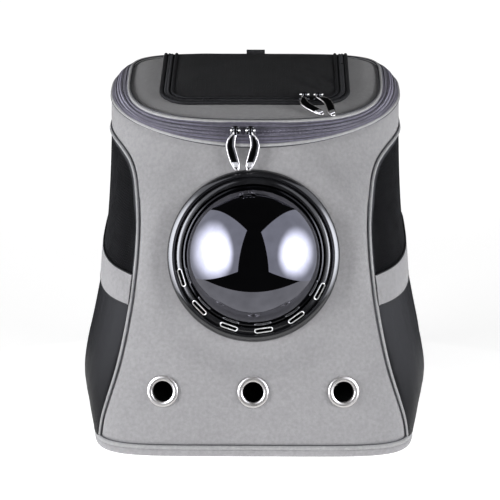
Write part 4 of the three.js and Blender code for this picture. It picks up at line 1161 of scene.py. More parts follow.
@dataclass(frozen=True)
class SidePanel(Assembly):
    """One side: wall, net window, gathered pocket and the band on its mouth."""

    seam: Seam
    side: Side
    seam_gap: float = 1.0 * MM
    wall_sheet: float = 1.6 * MM
    net_cell: float = 2.9 * MM
    net_yarn: float = 0.75 * MM
    net_lift: float = -0.9 * MM
    window_columns: int = 119
    band_width: float = 31 * MM
    band_wall: float = 1.2 * MM
    pocket_wall: float = 1.2 * MM
    pocket_bulge: float = 16 * MM
    gathers: int = 5
    crimps: int = 13
    puff_depth: float = 3.2 * MM
    puff_fade: float = 16 * MM
    binding_width: float = 5 * MM
    lining_sink: float = 2.4 * MM
    gather_depth: float = 1.1 * MM

    def spot(self, across: Spots, drop: Spots) -> Pair:
        """Turn and height share a share of the way back, a distance below the band's middle line."""
        up = np.maximum(along(BAND_LINE, across) - drop / self.form.wall, 1.2 * MM / self.form.wall)
        start = self.seam.turn_at(up, -self.seam_gap)
        end = self.form.back_seam(up)
        return self.side.value * mix(start, end, across), up

    def cut(self, turn: Spots, up: Spots) -> Spots:
        """Place in the flat cut."""
        return np.stack([self.side.value * turn * self.form.per_degree * 1.15, up * self.form.wall], 1)

    def swell(self, across: Spots, share: Spots, gathered: float = 1.0) -> Spots:
        """How far the pocket stands out, gathers included."""
        hump = np.maximum(np.sin(np.pi * across), 0)
        body = along(POCKET_SWELL, share) * hump**0.6
        gather = np.cos(2 * np.pi * self.gathers * across) * hump * share
        crimp = np.cos(2 * np.pi * self.crimps * across + 1.1 * np.sin(9 * across)) * hump**0.5
        crimp = crimp * (0.75 * share**3 + 0.25 * (1 - share) ** 3)
        fold = np.sin(2 * np.pi * (3.1 * across + 0.22 * share) + 0.7) * hump * np.sin(np.pi * share)
        deep = gathered * self.gather_depth * (1 - smooth(0.78, 0.86, share))
        return np.maximum(self.pocket_bulge * body + deep * (0.6 * gather + crimp + 0.9 * fold), 0)

    def flank(self) -> None:
        """Black wall behind the pocket."""
        def place(u: Spots, v: Spots) -> Pair:
            drop = mix(along(BAND_LINE, u) * self.form.wall, 0.0, v)
            turn, up = self.spot(u, drop)
            return self.form.off(turn, up, -0.2 * MM), self.cut(turn, up)

        wall = Bench.cloth(f"flank_cloth_{self.side.tag}", 24, 24, place, self.wall_sheet, lining=True)
        self.dress(wall, Finish.BLACK, "black_fabric", f"side_wall_{self.side.tag}", lining=Finish.LINING)

    @cached_property
    def arc_levels(self) -> tuple[Spots, Spots, list[Spots]]:
        """Distances along the cloth from the middle of the side, at turns on several levels."""
        levels, turns = np.linspace(0.4, 0.95, 40), np.linspace(35, 135, 400)
        arcs = []
        for up in levels:
            reach = lengths(self.form.point(turns, np.full_like(turns, up)))
            arcs.append(reach - np.interp(90, turns, reach))
        return levels, turns, arcs

    def unrolled(self, value: Spots, up: Spots, back: bool = False) -> Spots:
        """Distance along the cloth from the middle of the side at a turn, or back from distance to turn."""
        levels, turns, arcs = self.arc_levels
        table = np.stack([np.interp(value, *((arc, turns) if back else (turns, arc))) for arc in arcs])
        row = np.clip((up - levels[0]) / (levels[1] - levels[0]), 0, len(levels) - 1.001)
        low = row.astype(int)
        pick = np.arange(len(value))
        return mix(table[low, pick], table[low + 1, pick], row - low)

    def window_edge(self) -> Spots:
        """Outline of the window: turn and height share round it."""
        start = self.seam.share_at(BAND_LINE[0].value)
        front = np.stack(self.seam.edge(np.linspace(start, 1, 120), -0.3 * MM), 1)
        up = np.linspace(front[-1, 1], BAND_LINE[-1].value, 30)
        back = np.stack([self.form.back_seam(up) - 0.2, up], 1)
        across = np.linspace(1, 0, 40)
        low = along(BAND_LINE, across)
        foot = np.stack([mix(self.seam.turn_at(low, 0.0), self.form.back_seam(low), across), low], 1)
        return np.concatenate([front, back[1:], foot[1:-1]])

    def puff(self, turn: Spots, up: Spots) -> Spots:
        """How far the net stands out over the band's upper edge."""
        start = self.seam.turn_at(np.minimum(up, self.seam.side_top), 0.0)
        across = np.clip((np.abs(turn) - start) / (self.form.back_seam(up) - start), 0, 1)
        over = (up - along(BAND_LINE, across)) * self.form.wall - self.band_width / 2
        fade = np.exp(-np.maximum(over, 0) / self.puff_fade)
        return self.puff_depth * np.sin(np.pi * across) ** 0.8 * fade

    def window(self) -> None:
        """Net window of six-sided holes, cut to the window's outline, with a bound edge and a black sheet
        behind it that is painted shade for the bag's dark inside.
        """
        form, edge = self.form, self.window_edge()
        flat = np.stack([self.unrolled(edge[:, 0], edge[:, 1]), edge[:, 1] * form.wall], 1)
        low, high = flat.min(0), flat.max(0)
        radius = self.net_cell / math.sqrt(3)
        net = Bench.start(f"window_net_{self.side.tag}", bpy.ops.mesh.primitive_circle_add, vertices=6,
                          radius=radius, fill_type="NGON")
        columns = int((high[0] - low[0]) / self.net_cell) + 2
        rows = int((high[1] - low[1]) / (3 * radius)) + 2
        Bench.finish(net, "ARRAY", count=columns, use_relative_offset=False, use_constant_offset=True,
                     constant_offset_displace=(self.net_cell, 0, 0))
        Bench.copies(net, [Matrix.Identity(4), Matrix.Translation((self.net_cell / 2, 1.5 * radius, 0))])
        Bench.finish(net, "ARRAY", count=rows, use_relative_offset=False, use_constant_offset=True,
                     constant_offset_displace=(0, 3 * radius, 0))
        Bench.merge(net, 1e-5)
        spots = Bench.spots(net)[:, :2] + low
        inside = self.within(spots, flat)
        mesh = bmesh.new()
        mesh.from_mesh(net.data)
        mesh.verts.ensure_lookup_table()
        bmesh.ops.delete(mesh, geom=[v for v in mesh.verts if not inside[v.index]], context="VERTS")
        mesh.to_mesh(net.data)
        mesh.free()
        spots = Bench.spots(net)[:, :2] + low
        up = spots[:, 1] / form.wall
        turn = self.side.value * self.unrolled(spots[:, 0], up, back=True)
        Bench.move(net, form.off(turn, up, self.net_lift + self.puff(turn, up)))
        Bench.finish(net, "WIREFRAME", thickness=self.net_yarn, use_replace=True, use_even_offset=True,
                     use_relative_offset=False, use_boundary=True)
        Bench.soften(net, 80)
        self.dress(net, Finish.NET, "black_mesh", f"mesh_window_{self.side.tag}")
        share = np.linspace(self.seam.share_at(BAND_LINE[0].value), 1, self.window_columns + 1)

        def strip(u: Spots, v: Spots) -> Pair:
            row = nth(u, self.window_columns)
            gaps = (self.seam_gap, self.seam_gap + self.binding_width)
            near, far = (np.stack(self.seam.edge(share, -gap), 1) for gap in gaps)
            far[:, 0] = np.minimum(far[:, 0], self.form.back_seam(far[:, 1]))
            spot = mix(near[row], far[row], v[:, None])
            lift = -0.25 * MM - 0.5 * MM * v
            turn = self.side.value * spot[:, 0]
            return self.form.off(turn, spot[:, 1], lift), np.stack([u * 0.36, v * self.binding_width], 1)

        # Black sheet behind the net, standing in for the shade inside the bag: painted shade
        def lining(u: Spots, v: Spots) -> Pair:
            row = nth(u, self.window_columns)
            near = np.stack(self.seam.edge(share, -0.6 * MM), 1)[row]
            across = np.clip((near[:, 0] - near[:, 0].min()) / np.ptp(near[:, 0]), 0, 1)
            foot = along(BAND_LINE, across) - 0.01
            low = mix(self.seam.turn_at(foot, 0.0), self.form.back_seam(foot) - 0.1, across)
            spot = mix(np.stack([low, foot], 1), near, v[:, None])
            turn = self.side.value * spot[:, 0]
            lift = self.puff(turn, spot[:, 1]) - self.lining_sink
            return self.form.off(turn, spot[:, 1], lift), self.cut(turn, spot[:, 1])

        cloth = Bench.cloth(f"window_lining_{self.side.tag}", self.window_columns, 30, lining, 0.5 * MM)
        self.dress(cloth, Finish.NET_LINING, "black_mesh")
        tape = Bench.cloth(f"window_binding_{self.side.tag}", self.window_columns, 2, strip, 0.8 * MM)
        self.dress(tape, Finish.BINDING, "black_fabric")

    @staticmethod
    def within(spots: Spots, loop: Spots) -> Spots:
        """Whether each place is inside a loop in the flat."""
        x, y = spots[:, 0], spots[:, 1]
        inside = np.zeros(len(spots), bool)
        for (ax, ay), (bx, by) in zip(loop, np.roll(loop, -1, 0)):
            if ay != by:
                inside ^= ((ay > y) != (by > y)) & (x < (bx - ax) * (y - ay) / (by - ay) + ax)
        return inside

    def mouth_share(self, across: Spots, height: Spots) -> Spots:
        """Share of the pocket's height at a height over the band's middle line."""
        middle = along(BAND_LINE, across) * self.form.wall
        return (middle + height) / (middle + self.band_width / 2 - 1 * MM)

    def pocket(self) -> None:
        """Gathered pocket that swells out of the side."""
        def place(u: Spots, v: Spots) -> Pair:
            drop = mix(along(BAND_LINE, u) * self.form.wall, -self.band_width / 2 + 1 * MM, v)
            turn, up = self.spot(u, drop)
            lift = CLEARANCE + self.pocket_wall + self.swell(u, v)
            return self.form.off(turn, up, lift), self.cut(turn, up)

        pocket = Bench.cloth(f"pocket_cloth_{self.side.tag}", 156, 60, place, self.pocket_wall, 70)
        self.dress(pocket, Finish.BLACK, "black_fabric", f"side_pocket_{self.side.tag}")

    def band(self) -> None:
        """Grey band along the pocket's mouth, with bound edges."""
        def lift(across: Spots, height: Spots) -> Spots:
            share = np.clip(self.mouth_share(across, height), 0, 1)
            return self.swell(across, share, 0.0) + self.pocket_wall + 2 * CLEARANCE + 0.3 * MM

        def place(u: Spots, v: Spots) -> Pair:
            height = mix(-self.band_width / 2, self.band_width / 2, v)
            turn, up = self.spot(u, -height)
            raised = lift(u, height) + self.band_wall + 0.6 * MM * np.sin(np.pi * v)
            return self.form.off(turn, up, raised), self.cut(turn, up)

        band = Bench.cloth(f"band_cloth_{self.side.tag}", 120, 10, place, self.band_wall, 60)
        self.dress(band, Finish.GREY, "grey_fabric", f"side_band_{self.side.tag}")
        across = np.linspace(0.004, 0.996, 120)
        for name, way in (("upper", 1), ("lower", -1)):
            height = np.full_like(across, way * self.band_width / 2)
            turn, up = self.spot(across, -height)
            outs = self.form.normal(turn, up)
            path = self.form.off(turn, up, lift(across, height) + 0.6 * MM)
            cord = Bench.tube(f"band_binding_{name}_{self.side.tag}", path, outs, 0.85 * MM, 8)
            self.dress(cord, Finish.BINDING, "black_fabric")

    def build(self) -> None:
        """Builds and dresses the side."""
        self.flank()
        self.window()
        self.pocket()
        self.band()


@dataclass(frozen=True)
class Base(Assembly):
    """Padded base, the piping round its seam with dark cords beside it as painted shade in its grooves, and a
    dark cord along its foot.
    """

    inset: float = 9 * MM
    bulge: float = 1.6 * MM
    piping_radius: float = 2.4 * MM
    count: int = 260

    @cached_property
    def turns(self) -> Spots:
        """Turns at even steps round the base, from the back."""
        turn = np.linspace(-180, 180, 1441)
        reach = lengths(self.form.plain(turn, np.zeros_like(turn)))
        return np.interp(np.linspace(0, reach[-1], self.count + 1), reach, turn)

    def build(self) -> None:
        """Builds and dresses the base."""
        form = self.form
        top = form.seam_height - 1.2 * MM
        profile = [(1.0, 0.0), (0.25, 0.0), (0.02, 0.0), (0.0, 0.02), (-0.55, 0.12), (-0.95, 0.3),
                   (-1.15, 0.5), (-1.0, 0.7), (-0.5, 0.88), (0.2, 1.0), (1.2, 1.0), (1.6, 1.0)]
        sole = [(self.inset + 120 * MM, 0.0), (self.inset + 30 * MM, 0.0)]
        rim = [(self.inset * max(share, 0) - self.bulge * max(-share, 0), high) for share, high in profile]
        ends = [(158 * MM, 0.0), *sole]
        rows = np.array([*ends, *rim, *[(inset, 1.0) for inset, _ in ends[::-1]]])

        def place(u: Spots, v: Spots) -> Pair:
            column = nth(u, self.count)
            row = nth(v, len(rows) - 1)
            inset, high = rows[row, 0], rows[row, 1]
            rim = form.plain(self.turns[column], np.zeros(len(u)))
            span = np.linalg.norm(rim[:, :2], axis=1)
            inner = rim[:, :2] * (np.maximum(span - inset, 0) / span)[:, None]
            centre = (row == 0) | (row == len(rows) - 1)
            inner = np.where(centre[:, None], 0.0, inner)
            spots = np.concatenate([inner, (high * top)[:, None]], 1)
            return spots, spots[:, :2].copy()

        base = Bench.lay("base_pad", self.count, len(rows) - 1, place)
        Bench.merge(base)
        Bench.outwards(base)
        Bench.soften(base, 55)
        self.dress(base, Finish.GREY, "grey_fabric", "base_panel")
        turns = self.turns[:-1]
        zero = np.zeros_like(turns)
        outs = form.normal(turns, zero)
        path = form.plain(turns, zero) + outs * (-0.1 * MM)
        cord = Bench.tube("base_cord", path, outs, self.piping_radius, 10, closed=True)
        self.dress(cord, Finish.PIPING, "grey_piping", "base_piping")
        # Upper and lower dark cords: painted shade in the grooves beside the base piping; the sole cord lays
        # a dark line along the foot of the base
        dark_cords = (("upper", 2.6, 0.2, 0.7), ("lower", -2.6, 0.6, 0.6), ("sole", -8.9, 1.4, 1.0))
        for name, height, inset, radius in dark_cords:
            line = path + np.array([0, 0, height * MM]) - outs * inset * MM
            dark_cord = Bench.tube(f"base_edging_{name}", line, outs, radius * MM, 6, closed=True)
            self.dress(dark_cord, Finish.THREAD, "black_fabric")


@dataclass(frozen=True)
class BackPanel(Assembly):
    """Quilted back panel with the shoulder straps, their adjusters and webbing."""

    wall: float = 7 * MM
    channel: float = 2.4 * MM
    channel_width: float = 2.2 * MM
    strap_width: float = 62 * MM
    strap_wall: float = 13 * MM
    strap_spacing: float = 118 * MM
    strap_top: float = 338 * MM
    strap_drop: float = 215 * MM
    strap_reach: float = 34 * MM
    webbing_width: float = 25 * MM
    webbing_wall: float = 2 * MM
    adjuster_width: float = 34 * MM
    adjuster_height: float = 24 * MM
    adjuster_wall: float = 4 * MM
    webbing_foot: float = 22 * MM

    OUT = stations((0.0, 0.0), (0.02, 0.25), (0.06, 0.55), (0.13, 0.82), (0.27, 1.0), (0.46, 0.97),
                   (0.66, 0.80), (0.86, 0.56), (1.0, 0.42))
    WIDE = stations((0.0, 0.90), (0.06, 0.98), (0.13, 1.0), (0.66, 1.0), (0.86, 0.92), (1.0, 0.62))
    THICK = stations((0.0, 0.45), (0.06, 1.0), (0.66, 1.0), (0.86, 0.90), (1.0, 0.40))
    UPRIGHTS = (-0.085, -0.028, 0.028, 0.085)
    CROSSINGS = (0.09, 0.16, 0.23)
    BACK = stations((0.0, 0.0), (0.3, 0.36), (0.6, 0.78), (0.8, 1.0), (1.0, 1.0))

    def panel(self) -> None:
        """Lays the quilted back."""
        form = self.form

        def place(u: Spots, v: Spots) -> Pair:
            up = mix(2.0 * MM, form.wall - 1.5 * MM, v) / form.wall
            seam = form.back_seam(up)
            turn = mix(seam + 0.15, 360 - seam - 0.15, u)
            flat = form.point(turn, up)
            x, z = flat[:, 0], flat[:, 2]
            edge = np.minimum(np.minimum(u, 1 - u) * 0.3, np.minimum(v, 1 - v) * 0.33)
            lift = tuck(edge, 1.8 * MM, 3 * MM)
            for line in self.UPRIGHTS:
                lift = lift - self.channel * np.exp(-(((x - line) / self.channel_width) ** 2))
            inner = np.where(np.abs(x) < self.UPRIGHTS[-1], self.channel, 0)
            for line in self.CROSSINGS:
                lift = lift - inner * np.exp(-(((z - line) / self.channel_width) ** 2))
            return form.off(turn, up, lift), np.stack([u * 0.33, v * 0.33], 1)

        panel = Bench.cloth("back_cloth", 150, 100, place, self.wall, 70, lining=True)
        self.dress(panel, Finish.PADDING, "black_fabric", "back_panel", lining=Finish.LINING)

    def strap_line(self, side: Side, down: Spots) -> tuple[Spots, Spots, Spots]:
        """Middle, half width and half thickness of a strap at shares of its drop."""
        half = along(self.WIDE, down) * self.strap_width / 2
        thick = along(self.THICK, down) * self.strap_wall / 2
        y = self.form.back + CLEARANCE + thick + along(self.OUT, down) * self.strap_reach
        x = np.full_like(down, side.value * self.strap_spacing / 2)
        return np.stack([x, y, self.strap_top - down * self.strap_drop], 1), half, thick

    def plump(self, pad: Piece, cap: float) -> None:
        """Fills a pad with air for a moment, so that its cloth takes a sewn cushion's shape.

        Args:
            pad: The closed pad.
            cap: The most that a point may move.
        """
        before = Bench.spots(pad)
        Bench.pick(pad)
        cloth = pad.modifiers.new("plump", "CLOTH")
        cloth.settings.use_pressure = True
        cloth.settings.uniform_pressure_force = 4
        cloth.settings.quality = 4
        cloth.settings.effector_weights.gravity = 0
        scene = bpy.context.scene
        for frame in range(1, 16):
            scene.frame_set(frame)
        Bench.pick(pad)
        bpy.ops.object.modifier_apply(modifier=cloth.name)
        scene.frame_set(1)
        step = Bench.spots(pad) - before
        size = np.linalg.norm(step, axis=1, keepdims=True)
        Bench.move(pad, before + step * np.minimum(1, cap / np.maximum(size, 1e-9)))

    def strap(self, side: Side) -> None:
        """Padded strap with bound edges, its adjuster and its webbing."""
        rows, ring = 66, 28

        def place(u: Spots, v: Spots) -> Pair:
            middle, half, thick = self.strap_line(side, v)
            angle = 2 * np.pi * u
            c, s = np.cos(angle), np.sin(angle)
            wide = np.sign(c) * np.abs(c) ** 0.45 * (half - 1.2 * MM)
            high = np.sign(s) * np.abs(s) ** 0.7 * (thick - 1.2 * MM)
            spots = middle + np.stack([wide, high, np.zeros_like(u)], 1)
            return spots, np.stack([wide + 0.1 * (s > 0), v * self.strap_drop], 1)

        pad = Bench.lay(f"strap_pad_{side.tag}", ring, rows, place)
        Bench.merge(pad)
        Bench.edit(pad, lambda: bpy.ops.mesh.fill_holes(sides=0))
        Bench.outwards(pad)
        self.plump(pad, 1.1 * MM)
        Bench.finish(pad, "SUBSURF", levels=1, render_levels=1)
        Bench.soften(pad, 80)
        self.dress(pad, Finish.PADDING, "black_fabric", f"shoulder_strap_{side.tag}")
        down = np.linspace(0.01, 0.99, 90)
        middle, half, _ = self.strap_line(side, down)
        for name, way in (("outer", 1), ("inner", -1)):
            path = middle + np.stack([way * (half - 0.6 * MM), 0 * half, 0 * half], 1)
            outs = np.tile([float(way), 0, 0], (len(down), 1))
            tape = Bench.tube(f"strap_binding_{name}_{side.tag}", path, outs, 2.2 * MM, 10, flat=0.5)
            self.dress(tape, Finish.BINDING, "black_fabric")
        reach = float(self.strap_line(side, np.array([1.0]))[0][0, 1])
        self.adjuster(side, reach)
        self.webbing(side, reach)

    def adjuster(self, side: Side, reach: float) -> None:
        """Ladder adjuster: a frame of rounded bars."""
        x = side.value * self.strap_spacing / 2
        high = self.strap_top - self.strap_drop - CLEARANCE
        wide, tall, wall = self.adjuster_width, self.adjuster_height, self.adjuster_wall
        parts = []
        for name, size, centre in (
            ("top", (wide, wall, 0.2 * tall), (x, reach, high - 0.1 * tall)),
            ("middle", (wide - 4 * MM, 0.8 * wall, 0.16 * tall), (x, reach, high - 0.5 * tall)),
            ("foot", (wide - 6 * MM, wall, 0.2 * tall), (x, reach, high - 0.9 * tall)),
            ("left", (0.13 * wide, wall, 0.86 * tall), (x - 0.43 * wide, reach, high - 0.45 * tall)),
            ("right", (0.13 * wide, wall, 0.86 * tall), (x + 0.43 * wide, reach, high - 0.45 * tall)),
        ):
            parts.append(Bench.box(f"adjuster_{name}", size, centre, 1.1 * MM))
        buckle = Bench.join(*parts)
        buckle.name = f"adjuster_{side.tag}"
        Bench.soften(buckle, 40)
        self.dress(buckle, Finish.BUCKLE, "black_plastic", f"strap_adjuster_{side.tag}")

    def webbing(self, side: Side, reach: float) -> None:
        """Flat webbing from the adjuster to the foot of the back panel."""
        x = side.value * self.strap_spacing / 2
        top = self.strap_top - self.strap_drop - 2 * CLEARANCE - self.adjuster_height
        near = self.form.back + CLEARANCE + self.webbing_wall

        def place(u: Spots, v: Spots) -> Pair:
            y = mix(reach + self.webbing_wall / 2, near, along(self.BACK, v))
            z = mix(top, self.webbing_foot, v)
            wide = (u - 0.5) * self.webbing_width
            return np.stack([x + wide, y, z], 1), np.stack([wide, v * 0.083], 1)

        strip = Bench.lay(f"webbing_{side.tag}", 8, 40, place, out=True)
        Bench.thicken(strip, self.webbing_wall - 0.4 * MM)
        Bench.finish(strip, "BEVEL", width=0.5 * MM, segments=2, limit_method="ANGLE")
        Bench.soften(strip, 40)
        self.dress(strip, Finish.WEBBING, "black_fabric", f"strap_webbing_{side.tag}")

    def build(self) -> None:
        """Builds and dresses the back."""
        self.panel()
        for side in Side:
            self.strap(side)


@dataclass(frozen=True)
class Lid(Assembly):
    """Zipped lid: its cloth, the sloping rim with the zip, two pipings and the roll-up flap."""

    width: float = 282 * MM
    front_inset: float = 15 * MM
    back_inset: float = 18 * MM
    square: float = 3.2
    back_square: float = 4.2
    rise: float = 19 * MM
    bulge: float = 2 * MM
    crown: float = 3.5 * MM
    wall: float = 3 * MM
    tape_wall: float = 1.2 * MM
    piping_radius: float = 1.9 * MM
    piping_proud: float = 1.1 * MM
    coil_half: float = 3.4 * MM
    coil_step: float = 0.9 * MM
    rib_depth: float = 0.35 * MM
    rib_pitch: float = 2.9 * MM
    tooth_pitch: float = 1.45 * MM
    tooth_length: float = 2.9 * MM
    flap_width: float = 208 * MM
    flap_length: float = 137 * MM
    flap_gap: float = 7.5 * MM
    flap_corner: float = 34 * MM
    flap_wall: float = 1.6 * MM
    flap_lift: float = 0.6 * MM
    flap_zip: float = 14 * MM
    flap_roll: float = 3.2 * MM
    tab_width: float = 21 * MM
    tab_height: float = 7 * MM

    @cached_property
    def front(self) -> float:
        """Y of the front of the lid's top."""
        return BODY_SECTIONS[-1].front * self.form.depth + self.front_inset

    @cached_property
    def rear(self) -> float:
        """Y of the back of the lid's top."""
        return self.form.back - self.back_inset

    def plan(self, turn: Spots, inset: float = 0.0) -> Spots:
        """Outline of the lid's top in plan."""
        widest = BODY_SECTIONS[-1].widest * self.form.depth
        return outline(turn, self.width / 2 - inset, self.front + inset, self.rear - inset, widest,
                       self.square, self.back_square)

    def rim(self, turn: Spots, share: Spots | float) -> Spots:
        """Place on the sloping rim: share 0 on the zip line, 1 on the edge of the lid's top."""
        low = self.form.plain(turn, np.ones_like(turn))
        plan = self.plan(turn)
        high = np.concatenate([plan, (self.form.zip_plane(plan[..., 1]) + self.rise)[..., None]], -1)
        return mix(low, high, np.broadcast_to(np.asarray(share, float), turn.shape)[..., None])

    def rim_normal(self, turn: Spots, share: Spots | float) -> Spots:
        """Way out of the rim."""
        run = self.rim(turn + 0.5, share) - self.rim(turn - 0.5, share)
        return unit(np.cross(run, self.rim(turn, 1.0) - self.rim(turn, 0.0)))

    def off_rim(self, turn: Spots, share: Spots | float, lift: Spots | float) -> Spots:
        """Place off the rim by a lift."""
        out = self.rim_normal(turn, share)
        raised = self.bulge * np.sin(np.pi * np.asarray(share, float)) + lift
        return self.rim(turn, share) + out * np.broadcast_to(raised, turn.shape)[..., None]

    @cached_property
    def round_turns(self) -> Pair:
        """Turns round the rim from the back, and the distance along it at each."""
        turn = np.linspace(-180, 180, 1441)
        return turn, lengths(self.rim(turn, 0.5))

    def turns(self, count: int) -> Spots:
        """Turns at even steps round the rim."""
        turn, reach = self.round_turns
        return np.interp(np.linspace(0, reach[-1], count + 1), reach, turn)

    def top(self, x: Spots, y: Spots) -> Spots:
        """Height of the lid's top over a place in plan."""
        middle = BODY_SECTIONS[-1].widest * self.form.depth
        turn = np.degrees(np.arctan2(x, middle - y))
        edge = self.plan(turn)
        share = np.hypot(x, y - middle) / np.hypot(edge[..., 0], edge[..., 1] - middle)
        return self.form.zip_plane(y) + self.rise + self.crown * (1 - np.minimum(share, 1) ** 2)

    def on_top(self, spots: Spots, lift: Spots | float) -> Spots:
        """Places over the lid's top at a lift."""
        height = self.top(spots[:, 0], spots[:, 1]) + lift
        return np.concatenate([spots, height[:, None]], 1)

    def cloth(self) -> None:
        """Lays the lid's cloth with a drawn-in edge."""
        count, rows = 220, 26
        turns = self.turns(count)
        middle = np.array([0, (self.front + self.rear) / 2])
        inset = self.piping_radius + 0.5 * MM

        def place(u: Spots, v: Spots) -> Pair:
            column = nth(u, count)
            share = np.sin(v * np.pi / 2)
            plan = middle + (self.plan(turns[column], inset) - middle) * share[:, None]
            plan = np.where((v < 1e-6)[:, None], middle, plan)
            edge = (1 - share) * 0.12
            lift = tuck(edge, 1.9 * MM, 2.6 * MM)
            return self.on_top(plan, lift), plan.copy()

        lid = Bench.cloth("lid_cloth", count, rows, place, self.wall, 60, lining=True, weld=True)
        self.dress(lid, Finish.GREY, "grey_fabric", "lid_panel", lining=Finish.LINING)

    def tapes(self) -> None:
        """Two ribbed tapes, dark cords along them that are painted shade between the ribs, and the teeth
        between them.
        """
        count = 260
        turns = self.turns(count)
        turn, reach = self.round_turns
        edge = self.piping_radius * 0.6
        half = self.coil_half
        slant = np.linalg.norm(self.rim(turns, 1.0) - self.rim(turns, 0.0), axis=1)
        slit = 0.3 * MM
        halves = (("lower", 0.0, 0.5, edge, slit), ("upper", 0.5, 1.0, slit, edge))
        for name, from_, to, low_gap, high_gap in halves:
            def place(u: Spots, v: Spots) -> Pair:
                column = nth(u, count)
                low, high = from_ + low_gap / slant[column], to - high_gap / slant[column]
                share = mix(low, high, v)
                from_coil = np.abs(share - 0.5) * slant[column]
                step = -self.coil_step * (1 - smooth(half - 0.5 * MM, half + 0.2 * MM, from_coil))
                rib = self.rib_depth * np.cos(2 * np.pi * (from_coil - half) / self.rib_pitch)
                rib = rib * (from_coil > half)
                lift = step + rib + 0.2 * MM
                cut = np.stack([u * reach[-1], v * 8.5 * MM], 1)
                return self.off_rim(turns[column], share, lift), cut

            tape = Bench.cloth(f"tape_cloth_{name}", count, 22, place, self.tape_wall, 60, lining=True,
                               weld=True)
            self.dress(tape, Finish.TAPE, "zip_tape", f"zip_tape_{name}", lining=Finish.LINING)
        # Four dark cords along the tapes: painted shade between the ribs
        for index, share in enumerate((0.15, 0.31, 0.69, 0.85)):
            path, outs = self.off_rim(turns[:-1], share, 0.25 * MM), self.rim_normal(turns[:-1], share)
            cord = Bench.tube(f"tape_line_{index}", path, outs, 0.45 * MM, 5, closed=True)
            self.dress(cord, Finish.THREAD, "zip_tape")
        count = int(reach[-1] / self.tooth_pitch)
        at = np.interp((np.arange(count) + 0.5) / count * reach[-1], reach, turn)
        outs = self.rim_normal(at, 0.5)
        middle = self.off_rim(at, 0.5, 0.35 * MM)
        ways = unit(self.rim(at + 0.2, 0.5) - self.rim(at - 0.2, 0.5))
        size = (self.tooth_length, 1.0 * MM, 0.28 * MM)
        row = self.teeth("zip_teeth", size, 0.25 * MM, (middle, ways, outs))
        self.dress(row, Finish.TEETH, "zip_coil", "zip_coil")

    def teeth(self, name: str, size: Sequence[float], gap: float, line: Sequence[Spots]) -> Piece:
        """Two rows of teeth along a line, one modelled and the others copied from it.

        Args:
            name: The row's name.
            size: Width and height of a tooth, and the radius of its edges.
            gap: From the middle of the line to the teeth.
            line: Places along the line, and the ways along it and out of it.

        Returns:
            The teeth, as one piece.
        """
        wide, high, round_by = size
        tooth = Bench.box(name, (0.62 * self.tooth_pitch, wide, high), (0, 0, 0), round_by, 1)
        frames = []
        for middle, ahead, out in zip(*line):
            step = np.cross(out, ahead) * (wide / 2 + gap) + ahead * 0.25 * self.tooth_pitch
            frames += [frame_at(middle + way * step, ahead, out) for way in (-1, 1)]
        Bench.copies(tooth, frames)
        Bench.soften(tooth, 40)
        return tooth

    def pipings(self) -> None:
        """Piping on both edges of the rim, each between two dark cords that are painted shade in its grooves.
        """
        turns = self.turns(260)[:-1]
        for name, share in (("lower", 0.0), ("upper", 1.0)):
            outs = self.rim_normal(turns, share)
            path = self.off_rim(turns, share, self.piping_proud - self.piping_radius)
            cord = Bench.tube(f"lid_cord_{name}", path, outs, self.piping_radius, 12, closed=True)
            self.dress(cord, Finish.PIPING, "grey_piping", f"lid_piping_{name}")
            ups = unit(self.rim(turns, 1.0) - self.rim(turns, 0.0))
            # Dark cords beside each piping: painted shade in the grooves
            for edge, way in (("low", -1), ("high", 1)):
                line = path + ups * way * 2.2 * MM - outs * 0.4 * MM
                dark_cord = Bench.tube(f"lid_edging_{name}_{edge}", line, outs, 0.7 * MM, 6, closed=True)
                self.dress(dark_cord, Finish.THREAD, "black_fabric")

    @cached_property
    def flap_back(self) -> float:
        """Y of the flap's back edge."""
        return self.rear - self.flap_gap

    def flap_line(self, inset: float, count: int) -> Spots:
        """Edge of the flap in plan, from the back left round the front to the back right."""
        half = self.flap_width / 2 - inset
        front = self.flap_back - self.flap_length + inset
        corner = self.flap_corner - inset
        angles = np.linspace(0, np.pi / 2, 14)
        arc = corner * np.stack([1 - np.cos(angles), 1 - np.sin(angles)], 1)
        left = np.array([-half, front]) + arc
        right = left[::-1] * [-1, 1]
        line = np.concatenate([[[-half, self.flap_back]], left, right, [[half, self.flap_back]]])
        return evenly(line, count)

    def flap(self) -> None:
        """Roll-up flap: ripstop centre, a zip round three of its sides and two bindings."""
        low = CLEARANCE + self.flap_lift
        count = 150
        rests = ["lid_panel"]
        outer = self.flap_line(1.0 * MM, count + 1)
        inner = self.flap_line(self.flap_zip - 0.5 * MM, count + 1)

        def zone(u: Spots, v: Spots) -> Pair:
            row = nth(u, count)
            spots = mix(outer[row], inner[row], v[:, None])
            back = np.minimum(u, 1 - u)
            crinkle = 0.8 * MM * np.exp(-back / 0.03) * np.sin(60 * np.pi * back + 5 * v)
            ridge = 0.45 * MM * np.cos(2 * np.pi * 3 * v) + 0.5 * MM * np.sin(np.pi * v)
            lift = low + self.flap_wall + ridge + crinkle
            return self.on_top(spots, lift), np.stack([u * 0.43, v * self.flap_zip], 1)

